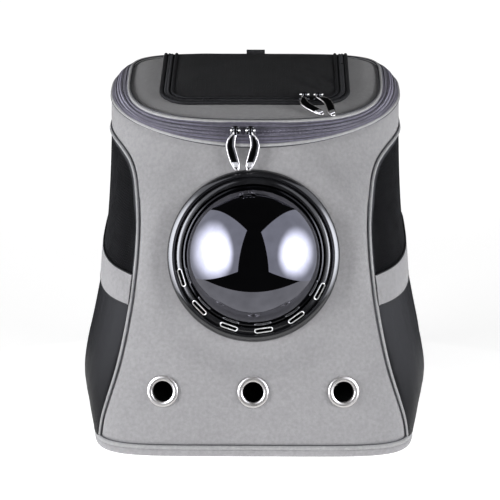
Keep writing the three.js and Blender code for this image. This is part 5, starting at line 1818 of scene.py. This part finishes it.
        tape = Bench.cloth("flap_tape_cloth", count, 18, zone, self.flap_wall - 0.4 * MM, 60)
        self.dress(tape, Finish.BINDING, "black_fabric", "flap_zip_tape_outer", "flap_zip_tape_inner")
        bindings = (("outer", 1.2 * MM, 2.1 * MM), ("inner", self.flap_zip - 0.6 * MM, 1.9 * MM))
        for name, inset, radius in bindings:
            line = self.flap_line(inset, count + 1)
            path = self.on_top(line, low + self.flap_wall + 0.2 * MM)
            outs = np.tile([0.0, 0, 1], (len(path), 1))
            cord = Bench.tube(f"flap_binding_{name}", path, outs, radius, 10)
            self.dress(cord, Finish.BINDING, "black_fabric")
        line = self.flap_line(self.flap_zip / 2, 600)
        path = self.on_top(line, low + self.flap_wall + 0.9 * MM)
        reach = lengths(path)
        steps = int(reach[-1] / self.tooth_pitch)
        at = (np.arange(steps) + 0.5) / steps * reach[-1]
        middle = np.stack([np.interp(at, reach, path[:, k]) for k in range(3)], 1)
        ways = unit(np.gradient(middle, axis=0))
        outs = np.tile(unit(np.array([0, -self.form.slope, 1.0])), (steps, 1))
        row = self.teeth("flap_teeth", (2.2 * MM, 0.9 * MM, 0.25 * MM), 0.15 * MM, (middle, ways, outs))
        self.dress(row, Finish.BLACK_TEETH, "zip_coil", "flap_zip_coil")
        self.flap_centre(low, rests)

    def flap_centre(self, low: float, rests: list[str]) -> None:
        """Ripstop centre of the flap, slack between its bindings."""
        inset = self.flap_zip
        half = self.flap_width / 2 - inset
        front = self.flap_back - self.flap_length + inset
        corner = self.flap_corner - inset

        def place(u: Spots, v: Spots) -> Pair:
            y = mix(front, self.flap_back, v)
            short = np.clip(front + corner - y, 0, corner)
            reach = half - corner + np.sqrt(np.maximum(corner**2 - short**2, 0))
            x = (2 * u - 1) * reach
            edge = np.minimum((1 - np.abs(2 * u - 1)) * half, (y - front))
            slack = 1 - np.exp(-edge / (9 * MM))
            roll = self.flap_roll * np.sin(np.pi * v) ** 0.7
            fold = 0.5 * MM * np.sin(x / (17 * MM) + 2.2 * np.sin(y / (30 * MM)))
            drape = 0.48 * MM * np.sin(y / (12 * MM) + 1.4 * np.sin(x / (45 * MM)))
            near = np.exp(-((x - 0.075) ** 2 + (y - 0.03) ** 2) / 0.03**2)
            pull = 2.0 * MM * near * np.sin((x + y) / (7 * MM))
            lift = low + self.flap_wall + slack * (roll + fold + drape + pull)
            return self.on_top(np.stack([x, y], 1), lift), np.stack([x, y], 1)

        cloth = Bench.cloth("flap_cloth", 110, 76, place, 1.0 * MM, 60)
        self.dress(cloth, Finish.RIPSTOP, "black_fabric", "top_flap")

    def tab(self) -> None:
        """Folded webbing tab behind the flap."""
        place_y = self.flap_back + CLEARANCE + 1.2 * MM
        foot = float(self.top(np.array([0.0]), np.array([place_y]))[0]) + CLEARANCE + 0.3 * MM

        def place(u: Spots, v: Spots) -> Pair:
            angle = np.pi * np.clip((v - 0.35) / 0.3, 0, 1)
            rise = np.where(v < 0.35, v / 0.35, np.where(v > 0.65, (1 - v) / 0.35, 1.0))
            z = foot + rise * (self.tab_height - 1.0 * MM) + 0.9 * MM * np.sin(angle)
            y = place_y - 0.9 * MM * np.cos(angle)
            wide = (u - 0.5) * self.tab_width
            return np.stack([wide, y, z], 1), np.stack([wide, v * 0.015], 1)

        tab = Bench.lay("flap_tab_webbing", 10, 30, place)
        Bench.thicken(tab, 0.5 * MM)
        Bench.soften(tab, 50)
        self.dress(tab, Finish.WEBBING, "black_fabric", "flap_tab")

    def build(self) -> None:
        """Builds and dresses the lid."""
        self.cloth()
        self.tapes()
        self.pipings()
        self.flap()
        self.tab()


@dataclass(frozen=True)
class Dome(Assembly):
    """Mirror dome, the inner ring with its vents and the outer ring."""

    depth: float = 63 * MM
    wall: float = 2 * MM
    inner_width: float = 7 * MM
    outer_width: float = 8 * MM
    height: float = 6.4 * MM
    sleeve_depth: float = 5.2 * MM
    vent_length: float = 19 * MM
    vent_width: float = 4.6 * MM
    vent_count: int = 6
    vent_start: float = 197
    vent_pitch: float = 27
    lip_radius: float = 0.62 * MM
    lip_tilt: float = 0.32

    @cached_property
    def seat(self) -> Matrix:
        """Frame on the dome's seat, Z out and Y up."""
        return frame_at(self.form.dome_seat, ACROSS, self.form.dome_axis)

    def bubble(self) -> None:
        """The dome itself: a sphere cut at its seat, with a wall."""
        radius = self.form.dome_radius
        sphere = (radius**2 + self.depth**2) / (2 * self.depth)
        dome = Bench.start("dome_bubble", bpy.ops.mesh.primitive_uv_sphere_add, segments=128, ring_count=96,
                           radius=sphere)
        dome.data.transform(Matrix.Translation((0, 0, self.depth - sphere)))
        seat = {"plane_co": (0, 0, 0), "plane_no": (0, 0, 1)}
        Bench.edit(dome, lambda: bpy.ops.mesh.bisect(clear_inner=True, **seat))
        Bench.thicken(dome, self.wall)
        dome.data.transform(self.seat)
        Bench.soften(dome, 45)
        self.dress(dome, Finish.MIRROR, "tinted_mirror", "dome")

    def outer_ring(self) -> None:
        """Outer clamping ring: a rounded bead with a step down to the inner ring."""
        inside = self.form.dome_radius + 2 * CLEARANCE + self.inner_width
        outside = inside + self.outer_width
        wide, high = self.outer_width, self.height
        slope = ((1.0, 0.14), (0.97, 0.26), (0.90, 0.42), (0.78, 0.60), (0.62, 0.78), (0.46, 0.91),
                 (0.34, 0.98), (0.24, 1.0), (0.14, 0.97), (0.06, 0.88), (0.02, 0.76))
        section = [(inside, 0.3 * MM), (outside, 0.3 * MM)]
        section += [(inside + share * wide, rise * high) for share, rise in slope]
        section += [(inside, 0.34 * high)]
        ring = Bench.spin("ring_outer", section, 144)
        ring.data.transform(self.seat)
        Bench.soften(ring, 40)
        self.dress(ring, Finish.GLOSS, "black_plastic", "dome_ring_outer")

    def stretched(self, piece: Piece) -> Spots:
        """Places of a round piece drawn out along X to the length of a vent."""
        spots = Bench.spots(piece)
        shift = (self.vent_length - self.vent_width) / 2
        spots[:, 0] += np.where(spots[:, 0] > 0, shift, -shift)
        return spots

    def inner_ring(self) -> None:
        """Inner ring, sloping down to the dome, cut by the vents, with a raised lip round each in a
        near-white plate that is painted highlight.
        """
        inside = self.form.dome_radius + CLEARANCE
        outside = inside + self.inner_width
        slope = [(mix(outside, inside, t),
                  mix(0.30, 0.66, t) * self.height + 0.5 * MM * math.sin(math.pi * t))
                 for t in np.linspace(0, 1, 12)]
        section = [(inside, -self.sleeve_depth), (outside, -self.sleeve_depth), *slope]
        ring = Bench.spin("ring_inner", section, 144)
        middle = (inside + outside) / 2
        lips = []
        for index in range(self.vent_count):
            angle = math.radians(self.vent_start + self.vent_pitch * index)
            place = Matrix.Rotation(angle - math.pi / 2, 4, "Z") @ Matrix.Translation((0, middle, 0))
            tool = Bench.start("cutter", bpy.ops.mesh.primitive_cylinder_add, vertices=32,
                               radius=self.vent_width / 2, depth=0.03)
            Bench.move(tool, self.stretched(tool))
            tool.data.transform(place)
            Bench.finish(ring, "BOOLEAN", object=tool, operation="DIFFERENCE", solver="EXACT")
            bpy.data.objects.remove(tool)
            raised = place @ Matrix.Translation((0, 0, 0.60 * self.height))
            lips.append(raised @ Matrix.Rotation(-self.lip_tilt, 4, "X"))
        lip = Bench.start("vent_lips", bpy.ops.mesh.primitive_torus_add, major_segments=40, minor_segments=8,
                          major_radius=self.vent_width / 2, minor_radius=self.lip_radius)
        spots = self.stretched(lip)
        spots[:, 1] -= spots[:, 0] ** 2 / (2 * middle)
        Bench.move(lip, spots)
        Bench.copies(lip, lips)
        for piece in (ring, lip):
            piece.data.transform(self.seat)
            Bench.soften(piece, 40)
        self.dress(ring, Finish.GLOSS, "black_plastic", "dome_ring_inner")
        # Lips near white: painted highlight round each vent
        self.dress(lip, Finish.LIP, "polished_metal")

    def build(self) -> None:
        """Builds and dresses the dome."""
        self.bubble()
        self.outer_ring()
        self.inner_ring()


@dataclass(frozen=True)
class Pull:
    """One zip slider with its puller."""

    wardrobe: Wardrobe
    node: str
    slider_node: str
    pin: Spots
    into: Spots
    down: Spots
    mirror: int
    turn: float = 0.0
    length: float = 43 * MM
    width: float = 10.5 * MM
    slider_length: float = 11 * MM
    slider_width: float = 8 * MM
    pin_radius: float = 1.1 * MM
    pin_rise: float = 3.3 * MM
    rim_radius: float = 0.85 * MM
    stud_radius: float = 1.25 * MM
    stud_side: float = 4.1 * MM
    ear_side: float = 4.0 * MM
    neck_drop: float = 6 * MM
    steps: int = 40

    SECTIONS = ((0.10, -0.04, 0.40), (0.15, -0.20, 0.66), (0.24, -0.40, 0.84), (0.40, -0.50, 0.92),
                (0.62, -0.28, 1.00), (0.83, 0.00, 0.92), (0.96, 0.15, 0.60), (1.00, 0.19, 0.28))

    def frame(self, into: Spots) -> Matrix:
        """Frame on the pin: X along the pin, Y into the cloth, Z up the puller."""
        return frame_of(ACROSS, into, np.cross(ACROSS, into), self.pin)

    def loop(self, inset: float, from_: float = 0.06, to: float = 1.0) -> Spots:
        """Outline of the blade in its own plane, closed."""
        rows = np.array(self.SECTIONS)
        at = np.linspace(from_, to, self.steps)
        middle = np.interp(at, rows[:, 0], rows[:, 1])
        wide = np.interp(at, rows[:, 0], rows[:, 2])
        kernel = np.array([1, 2, 3, 2, 1]) / 9
        for line in (middle, wide):
            padded = np.pad(line, 2, mode="edge")
            line[:] = np.convolve(padded, kernel, "valid")
        left = np.stack([self.width * (self.mirror * middle - wide / 2) + inset, -at * self.length], 1)
        right = np.stack([self.width * (self.mirror * middle + wide / 2) - inset, -at * self.length], 1)
        return np.concatenate([left, right[::-1]])

    def turned(self, flat: Spots) -> Spots:
        """The blade's plane turned about its neck."""
        angle = math.radians(self.turn)
        c, s = math.cos(angle), math.sin(angle)
        x, z = flat[:, 0], flat[:, 1] + self.neck_drop
        return np.stack([x * c - z * s, x * s + z * c - self.neck_drop], 1)

    def puller(self) -> None:
        """Open blade with a bright rim, a centre in darker metal that is a painted reflection of the chrome's
        dark surroundings, and a satin grip.
        """
        frame, body = self.frame(self.down), self.node
        rim = self.turned(self.loop(self.rim_radius))
        line = np.stack([rim[:, 0], 0 * rim[:, 0], rim[:, 1]], 1)
        line = evenly(np.concatenate([line, line[:1]]), 97)[:-1]
        outs = np.tile([0.0, -1, 0], (len(line), 1))
        edge = Bench.tube(f"{self.node}_rim", line, outs, self.rim_radius, 10, closed=True)
        edge.data.transform(frame)
        self.wardrobe.dress(edge, Finish.CHROME, "polished_metal", self.node, body=body)
        inner = self.loop(0.9 * MM, 0.09, 0.97)
        halves = inner[:self.steps], inner[self.steps:][::-1]

        def place(u: Spots, v: Spots) -> Pair:
            at, steps = v * (self.steps - 1), np.arange(self.steps)
            left, right = (np.stack([np.interp(at, steps, half[:, k]) for k in (0, 1)], 1) for half in halves)
            flat = self.turned(mix(left, right, u[:, None]))
            dish = 0.55 * MM * np.sin(np.pi * u)
            return np.stack([flat[:, 0], dish - 0.1 * MM, flat[:, 1]], 1), flat

        plate = Bench.lay(f"{self.node}_plate", 10, self.steps, place)
        Bench.thicken(plate, 0.7 * MM)
        Bench.outwards(plate)
        plate.data.transform(frame)
        Bench.soften(plate, 50)
        # Dark centre of the blade: painted reflection of the chrome's dark surroundings
        self.wardrobe.dress(plate, Finish.DARK_CHROME, "polished_metal", body=body)
        size = (0.56 * self.width, 1.5 * MM, 0.13 * self.length)
        grip = Bench.box(f"{self.node}_grip", size, (0, 0, 0), 0.5 * MM)
        spots = Bench.spots(grip)
        centre = np.array([self.mirror * 0.05 * self.width, -0.865 * self.length])
        tilt = self.mirror * 0.35
        flat = np.stack([spots[:, 0] + tilt * -spots[:, 2] + centre[0], spots[:, 2] + centre[1]], 1)
        flat = self.turned(flat)
        Bench.move(grip, np.stack([flat[:, 0], spots[:, 1] - 0.45 * MM, flat[:, 1]], 1))
        grip.data.transform(frame)
        Bench.soften(grip, 40)
        self.wardrobe.dress(grip, Finish.SATIN, "polished_metal", body=body)
        bore, half = self.pin_radius + CLEARANCE, 1.9 * MM
        section = [(bore, -half), (2.1 * MM, -half), (2.4 * MM, -1.4 * MM), (2.4 * MM, 1.4 * MM),
                   (2.1 * MM, half), (bore, half)]
        knuckle = Bench.spin(f"{self.node}_knuckle", section, 32)
        knuckle.data.transform(frame @ Matrix.Rotation(math.pi / 2, 4, "Y"))
        Bench.soften(knuckle, 40)
        neck = Bench.box(f"{self.node}_neck", (3.4 * MM, 1.9 * MM, 4.6 * MM), (0, 0, -3.9 * MM), 0.6 * MM)
        neck.data.transform(frame)
        Bench.soften(neck, 40)
        Bench.join(knuckle, neck)
        self.wardrobe.dress(knuckle, Finish.DARK_CHROME, "polished_metal", body=body)

    def slider(self) -> None:
        """Slider body: a rounded plate with two ears, a cap behind the puller's swing, studs and the pin; the
        studs are near white as painted highlights.
        """
        frame = self.frame(self.into)
        rise, long, wide = self.pin_rise, self.slider_length, self.slider_width
        plate = Bench.box("plate", (long, 2.2 * MM, wide), (0, rise + 1.2 * MM, 0), 1.0 * MM, 4)
        spots = Bench.spots(plate)
        spots[:, 2] *= 1 - 0.35 * (np.abs(spots[:, 0]) / (long / 2)) ** 2
        Bench.move(plate, spots)
        parts, bright = [plate], []
        for way in (-1, 1):
            size = (1.5 * MM, rise + 2.4 * MM, 4.4 * MM)
            centre = (way * self.ear_side, (rise + 0.6 * MM) / 2, 0.3 * MM)
            parts.append(Bench.box("ear", size, centre, 0.7 * MM))
            stud = Bench.start("stud", bpy.ops.mesh.primitive_uv_sphere_add, segments=24, ring_count=12,
                               radius=self.stud_radius)
            centre = np.array([way * self.stud_side, -0.7 * MM, -0.9 * MM])
            Bench.move(stud, Bench.spots(stud) * [1.0, 0.9, 1.0] + centre)
            bright.append(stud)
        cap = Bench.start("cap", bpy.ops.mesh.primitive_uv_sphere_add, segments=32, ring_count=16, radius=1)
        Bench.move(cap, Bench.spots(cap) * [4.2 * MM, 1.6 * MM, 1.6 * MM] + [0, 2.1 * MM, 3.6 * MM])
        parts.append(cap)
        pin = Bench.start("pin", bpy.ops.mesh.primitive_cylinder_add, vertices=20, radius=self.pin_radius,
                          depth=8.0 * MM)
        pin.data.transform(Matrix.Rotation(math.pi / 2, 4, "Y"))
        parts.append(pin)
        studs = Bench.join(*bright)
        studs.name = self.slider_node + "_studs"
        studs.data.transform(frame)
        Bench.soften(studs, 45)
        # Studs near white: painted highlights on the slider
        self.wardrobe.dress(studs, Finish.LIP, "polished_metal")
        body = Bench.join(*parts)
        body.name = self.slider_node + "_body"
        body.data.transform(frame)
        Bench.soften(body, 45)
        self.wardrobe.dress(body, Finish.DARK_CHROME, "polished_metal", self.slider_node)

    def build(self) -> None:
        """Builds and dresses the slider and its puller."""
        self.slider()
        self.puller()


@dataclass(frozen=True)
class Hardware(Assembly):
    """The four sliders with their pullers."""

    lid: Lid
    joints: Sequence[dict]
    puller_wall: float = 2.4 * MM
    puller_length: float = 43 * MM
    ring_split: float = 83.9 * MM
    ring_outer: float = 92.2 * MM
    ring_height: float = 6.4 * MM
    flap_turn: float = 28
    flap_rest: float = 1.2 * MM
    pin_height: float = 6.2 * MM

    def resting(self, pin: Spots) -> Spots:
        """Way into the cloth for a front puller whose blade lies on the outer ring's crest."""
        form = self.form
        crest = form.dome_seat + form.rising * mix(self.ring_split, self.ring_outer, 0.6)
        crest = crest + form.dome_axis * self.ring_height
        fall, out = pin[2] - crest[2], pin[1] - crest[1]
        lean = math.atan2(out, fall) + math.asin((self.puller_wall / 2 + CLEARANCE) / math.hypot(out, fall))
        return np.array([0, math.cos(lean), -math.sin(lean)])

    def build(self) -> None:
        """Builds and dresses every slider and puller."""
        form = self.form
        pins = {joint["child"]: np.array(joint["pos_m"]) for joint in self.joints}
        on_zip = CLEARANCE + self.lid.flap_lift + self.lid.flap_wall + math.sqrt(0.5) * 1.6 * MM
        drop = on_zip + self.pin_height - self.puller_wall / 2 - self.flap_rest
        dip = math.asin(drop / self.puller_length)
        lid_out = unit(np.array([0, -form.slope, 1.0]))
        c, s = math.cos(dip), math.sin(dip)
        y, z = -lid_out[1], -lid_out[2]
        flap_down = np.array([0, y * c - z * s, y * s + z * c])
        rim_out = self.lid.rim_normal(np.array([0.0]), 0.5)[0]
        for side in Side:
            node = f"zip_puller_{side.tag}"
            Pull(self.wardrobe, node, f"zip_slider_{side.tag}", pins[node], -rim_out,
                 self.resting(pins[node]), -side.value).build()
            node = f"flap_puller_{side.tag}"
            Pull(self.wardrobe, node, f"flap_slider_{side.tag}", pins[node], -lid_out, flap_down, -side.value,
                 self.flap_turn).build()


@dataclass(frozen=True)
class Studio:
    """Camera, pale floor and soft lights."""

    target: tuple[float, float, float] = (0, 0, 0.196)
    azimuth: float = 0.7
    elevation: float = 14
    distance: float = 2.2
    lens: float = 142.1
    shift: tuple[float, float] = (-0.009, -0.0056)
    softbox_side: float = 0.4
    softbox_fade: tuple[float, float] = (0.5, 1.9)
    softbox_glow: tuple[float, float] = (13.0, 1.5)

    def camera(self) -> None:
        """Camera at the photograph's angle."""
        turn, rise = math.radians(self.azimuth), math.radians(self.elevation)
        way = Vector((math.sin(turn) * math.cos(rise), -math.cos(turn) * math.cos(rise), math.sin(rise)))
        data = bpy.data.cameras.new("camera")
        data.lens, data.sensor_width = self.lens, 36
        data.shift_x, data.shift_y = self.shift
        data.clip_start, data.clip_end = 0.05, 50
        camera = bpy.data.objects.new("camera", data)
        camera.location = Vector(self.target) + way * self.distance
        camera.rotation_euler = way.to_track_quat("Z", "Y").to_euler()
        bpy.context.scene.collection.objects.link(camera)
        bpy.context.scene.camera = camera

    def floor(self) -> None:
        """Pale round floor."""
        floor = Bench.start("floor", bpy.ops.mesh.primitive_circle_add, vertices=96, radius=1.6,
                            fill_type="NGON")
        recipe = Recipe("pale_floor")
        place = recipe.add("TexCoord").outputs["Object"]
        cloud = recipe.noise(place, 3.0)
        recipe.set(Base_Color=recipe.blend(cloud, (0.86, 0.86, 0.86), (0.90, 0.90, 0.90)), Roughness=0.9)
        recipe.set(Emission_Color=(1, 1, 1, 1), Emission_Strength=0.66)
        floor.data.materials.append(recipe.material)
        floor.visible_glossy = False

    def softbox(self, side: Side, corners: Sequence[tuple[float, float]], hot: Sequence[float]) -> None:
        """Glowing softbox beside the bag, that only reflections see.

        Args:
            side: The side that it stands on.
            corners: Y and Z of its four corners, in order.
            hot: Y, Z, half length and half height of its bright middle.
        """
        panel = Bench.start(f"softbox_{side.tag}", bpy.ops.mesh.primitive_plane_add, size=1)
        x = side.value * self.softbox_side
        first, second, third, fourth = corners
        Bench.move(panel, np.array([(x, *corner) for corner in (first, second, fourth, third)]))
        recipe = Recipe(f"softbox_{side.tag}_glow")
        place = recipe.add("TexCoord").outputs["Object"]
        arm = recipe.add("VectorMath", operation="SUBTRACT", i0=place, i1=(x, hot[0], hot[1]))
        share = (0, 1 / hot[2], 1 / hot[3])
        arm = recipe.add("VectorMath", operation="MULTIPLY", i0=arm.outputs[0], i1=share)
        reach = recipe.add("VectorMath", operation="LENGTH", i0=arm.outputs[0]).outputs["Value"]
        fall = recipe.add("MapRange", interpolation_type="SMOOTHSTEP")
        for index, value in enumerate((reach, *self.softbox_fade, *self.softbox_glow)):
            recipe.feed(fall.inputs[index], value)
        self.glow(panel, recipe, (0.90, 0.92, 1.0, 1), fall.outputs[0])

    @staticmethod
    def glow(piece: Piece, recipe: Recipe, colour: Sequence[float], strength: bpy.types.NodeSocket) -> None:
        """Makes a piece glow, and stages it so that only reflections see it."""
        recipe.set(Base_Color=(0, 0, 0, 1), Specular_IOR_Level=0.0, Roughness=1.0)
        recipe.set(Emission_Color=colour, Emission_Strength=strength)
        piece.data.materials.append(recipe.material)
        for sight in ("camera", "diffuse", "shadow", "transmission"):
            setattr(piece, f"visible_{sight}", False)

    def table(self) -> None:
        """Glowing grey disc round the bag, a painted reflection of the table top that only reflections see.
        """
        table = Bench.start("table_glow", bpy.ops.mesh.primitive_circle_add, vertices=64, radius=1,
                            fill_type="NGON")
        Bench.move(table, Bench.spots(table) * [0.46, 0.33, 1] + [0, 0, 0.6 * MM])
        recipe = Recipe("table_grey")
        cloud = recipe.noise(recipe.add("TexCoord").outputs["Object"], 4.0)
        self.glow(table, recipe, (1, 1, 1, 1), recipe.spread(cloud, 0.3, 0.7, 0.95, 1.2))

    @staticmethod
    def lamp(name: str, place: Sequence[float], aim: float, size: tuple[float, float], power: float) -> None:
        """Soft rectangular light that reflections don't see, aimed at a height over the origin."""
        data = bpy.data.lights.new(name, "AREA")
        data.shape = "RECTANGLE"
        data.size, data.size_y = size
        data.energy = power
        lamp = bpy.data.objects.new(name, data)
        lamp.location = place
        lamp.rotation_euler = (Vector((0, 0, aim)) - Vector(place)).to_track_quat("-Z", "Y").to_euler()
        lamp.visible_glossy = False
        lamp.visible_camera = False
        bpy.context.scene.collection.objects.link(lamp)

    def world(self) -> None:
        """White to the eye, soft to cloth and dark to mirrors."""
        world = bpy.data.worlds.new("studio")
        bpy.context.scene.world = world
        world.use_nodes = True
        tree = world.node_tree
        back = tree.nodes["Background"]
        path = tree.nodes.new("ShaderNodeLightPath")
        soft = tree.nodes.new("ShaderNodeMapRange")
        tree.links.new(path.outputs["Is Glossy Ray"], soft.inputs[0])
        soft.inputs[3].default_value, soft.inputs[4].default_value = 0.09, 0.02
        eye = tree.nodes.new("ShaderNodeMix")
        tree.links.new(path.outputs["Is Camera Ray"], eye.inputs[0])
        tree.links.new(soft.outputs[0], eye.inputs[2])
        eye.inputs[3].default_value = 1.05
        tree.links.new(eye.outputs[0], back.inputs["Strength"])
        back.inputs["Color"].default_value = (1, 1, 1, 1)

    def build(self) -> None:
        """Sets up the studio."""
        bpy.context.scene.view_settings.view_transform = "Standard"
        self.camera()
        self.floor()
        self.world()
        self.table()
        self.softbox(Side.LEFT, [(-1.02, 0.0), (-1.56, 2.2), (0.26, 0.53), (0.10, 0.02)],
                     (-0.36, 0.32, 0.25, 0.21))
        self.softbox(Side.RIGHT, [(-1.0, 0.0), (-1.33, 1.74), (0.233, 0.588), (0.20, 0.0)],
                     (-0.29, 0.28, 0.19, 0.16))
        self.lamp("key_left", (-1.35, -0.8, 0.46), 0.25, (0.6, 0.5), 21)
        self.lamp("key_right", (1.35, -0.8, 0.46), 0.25, (0.6, 0.5), 16)
        self.lamp("front_soft", (0, -2.4, 0.35), 0.2, (1.2, 0.6), 7)
        self.lamp("back_soft", (0, 1.6, 0.5), 0.2, (1.4, 0.7), 4)


def main() -> None:
    """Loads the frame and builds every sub-assembly in order."""
    logging.basicConfig(level=logging.INFO, format="%(name)s: %(message)s")
    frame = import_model()
    Studio().build()
    form = BagForm()
    seam = Seam(form)
    wardrobe = Wardrobe()
    FrontPanel(form, wardrobe, seam).build()
    for side in Side:
        SidePanel(form, wardrobe, seam, side).build()
    Base(form, wardrobe).build()
    BackPanel(form, wardrobe).build()
    lid = Lid(form, wardrobe)
    lid.build()
    Dome(form, wardrobe).build()
    Hardware(form, wardrobe, lid, frame["joints"]).build()
    Bench.clear()


if __name__ == "__main__":
    main()
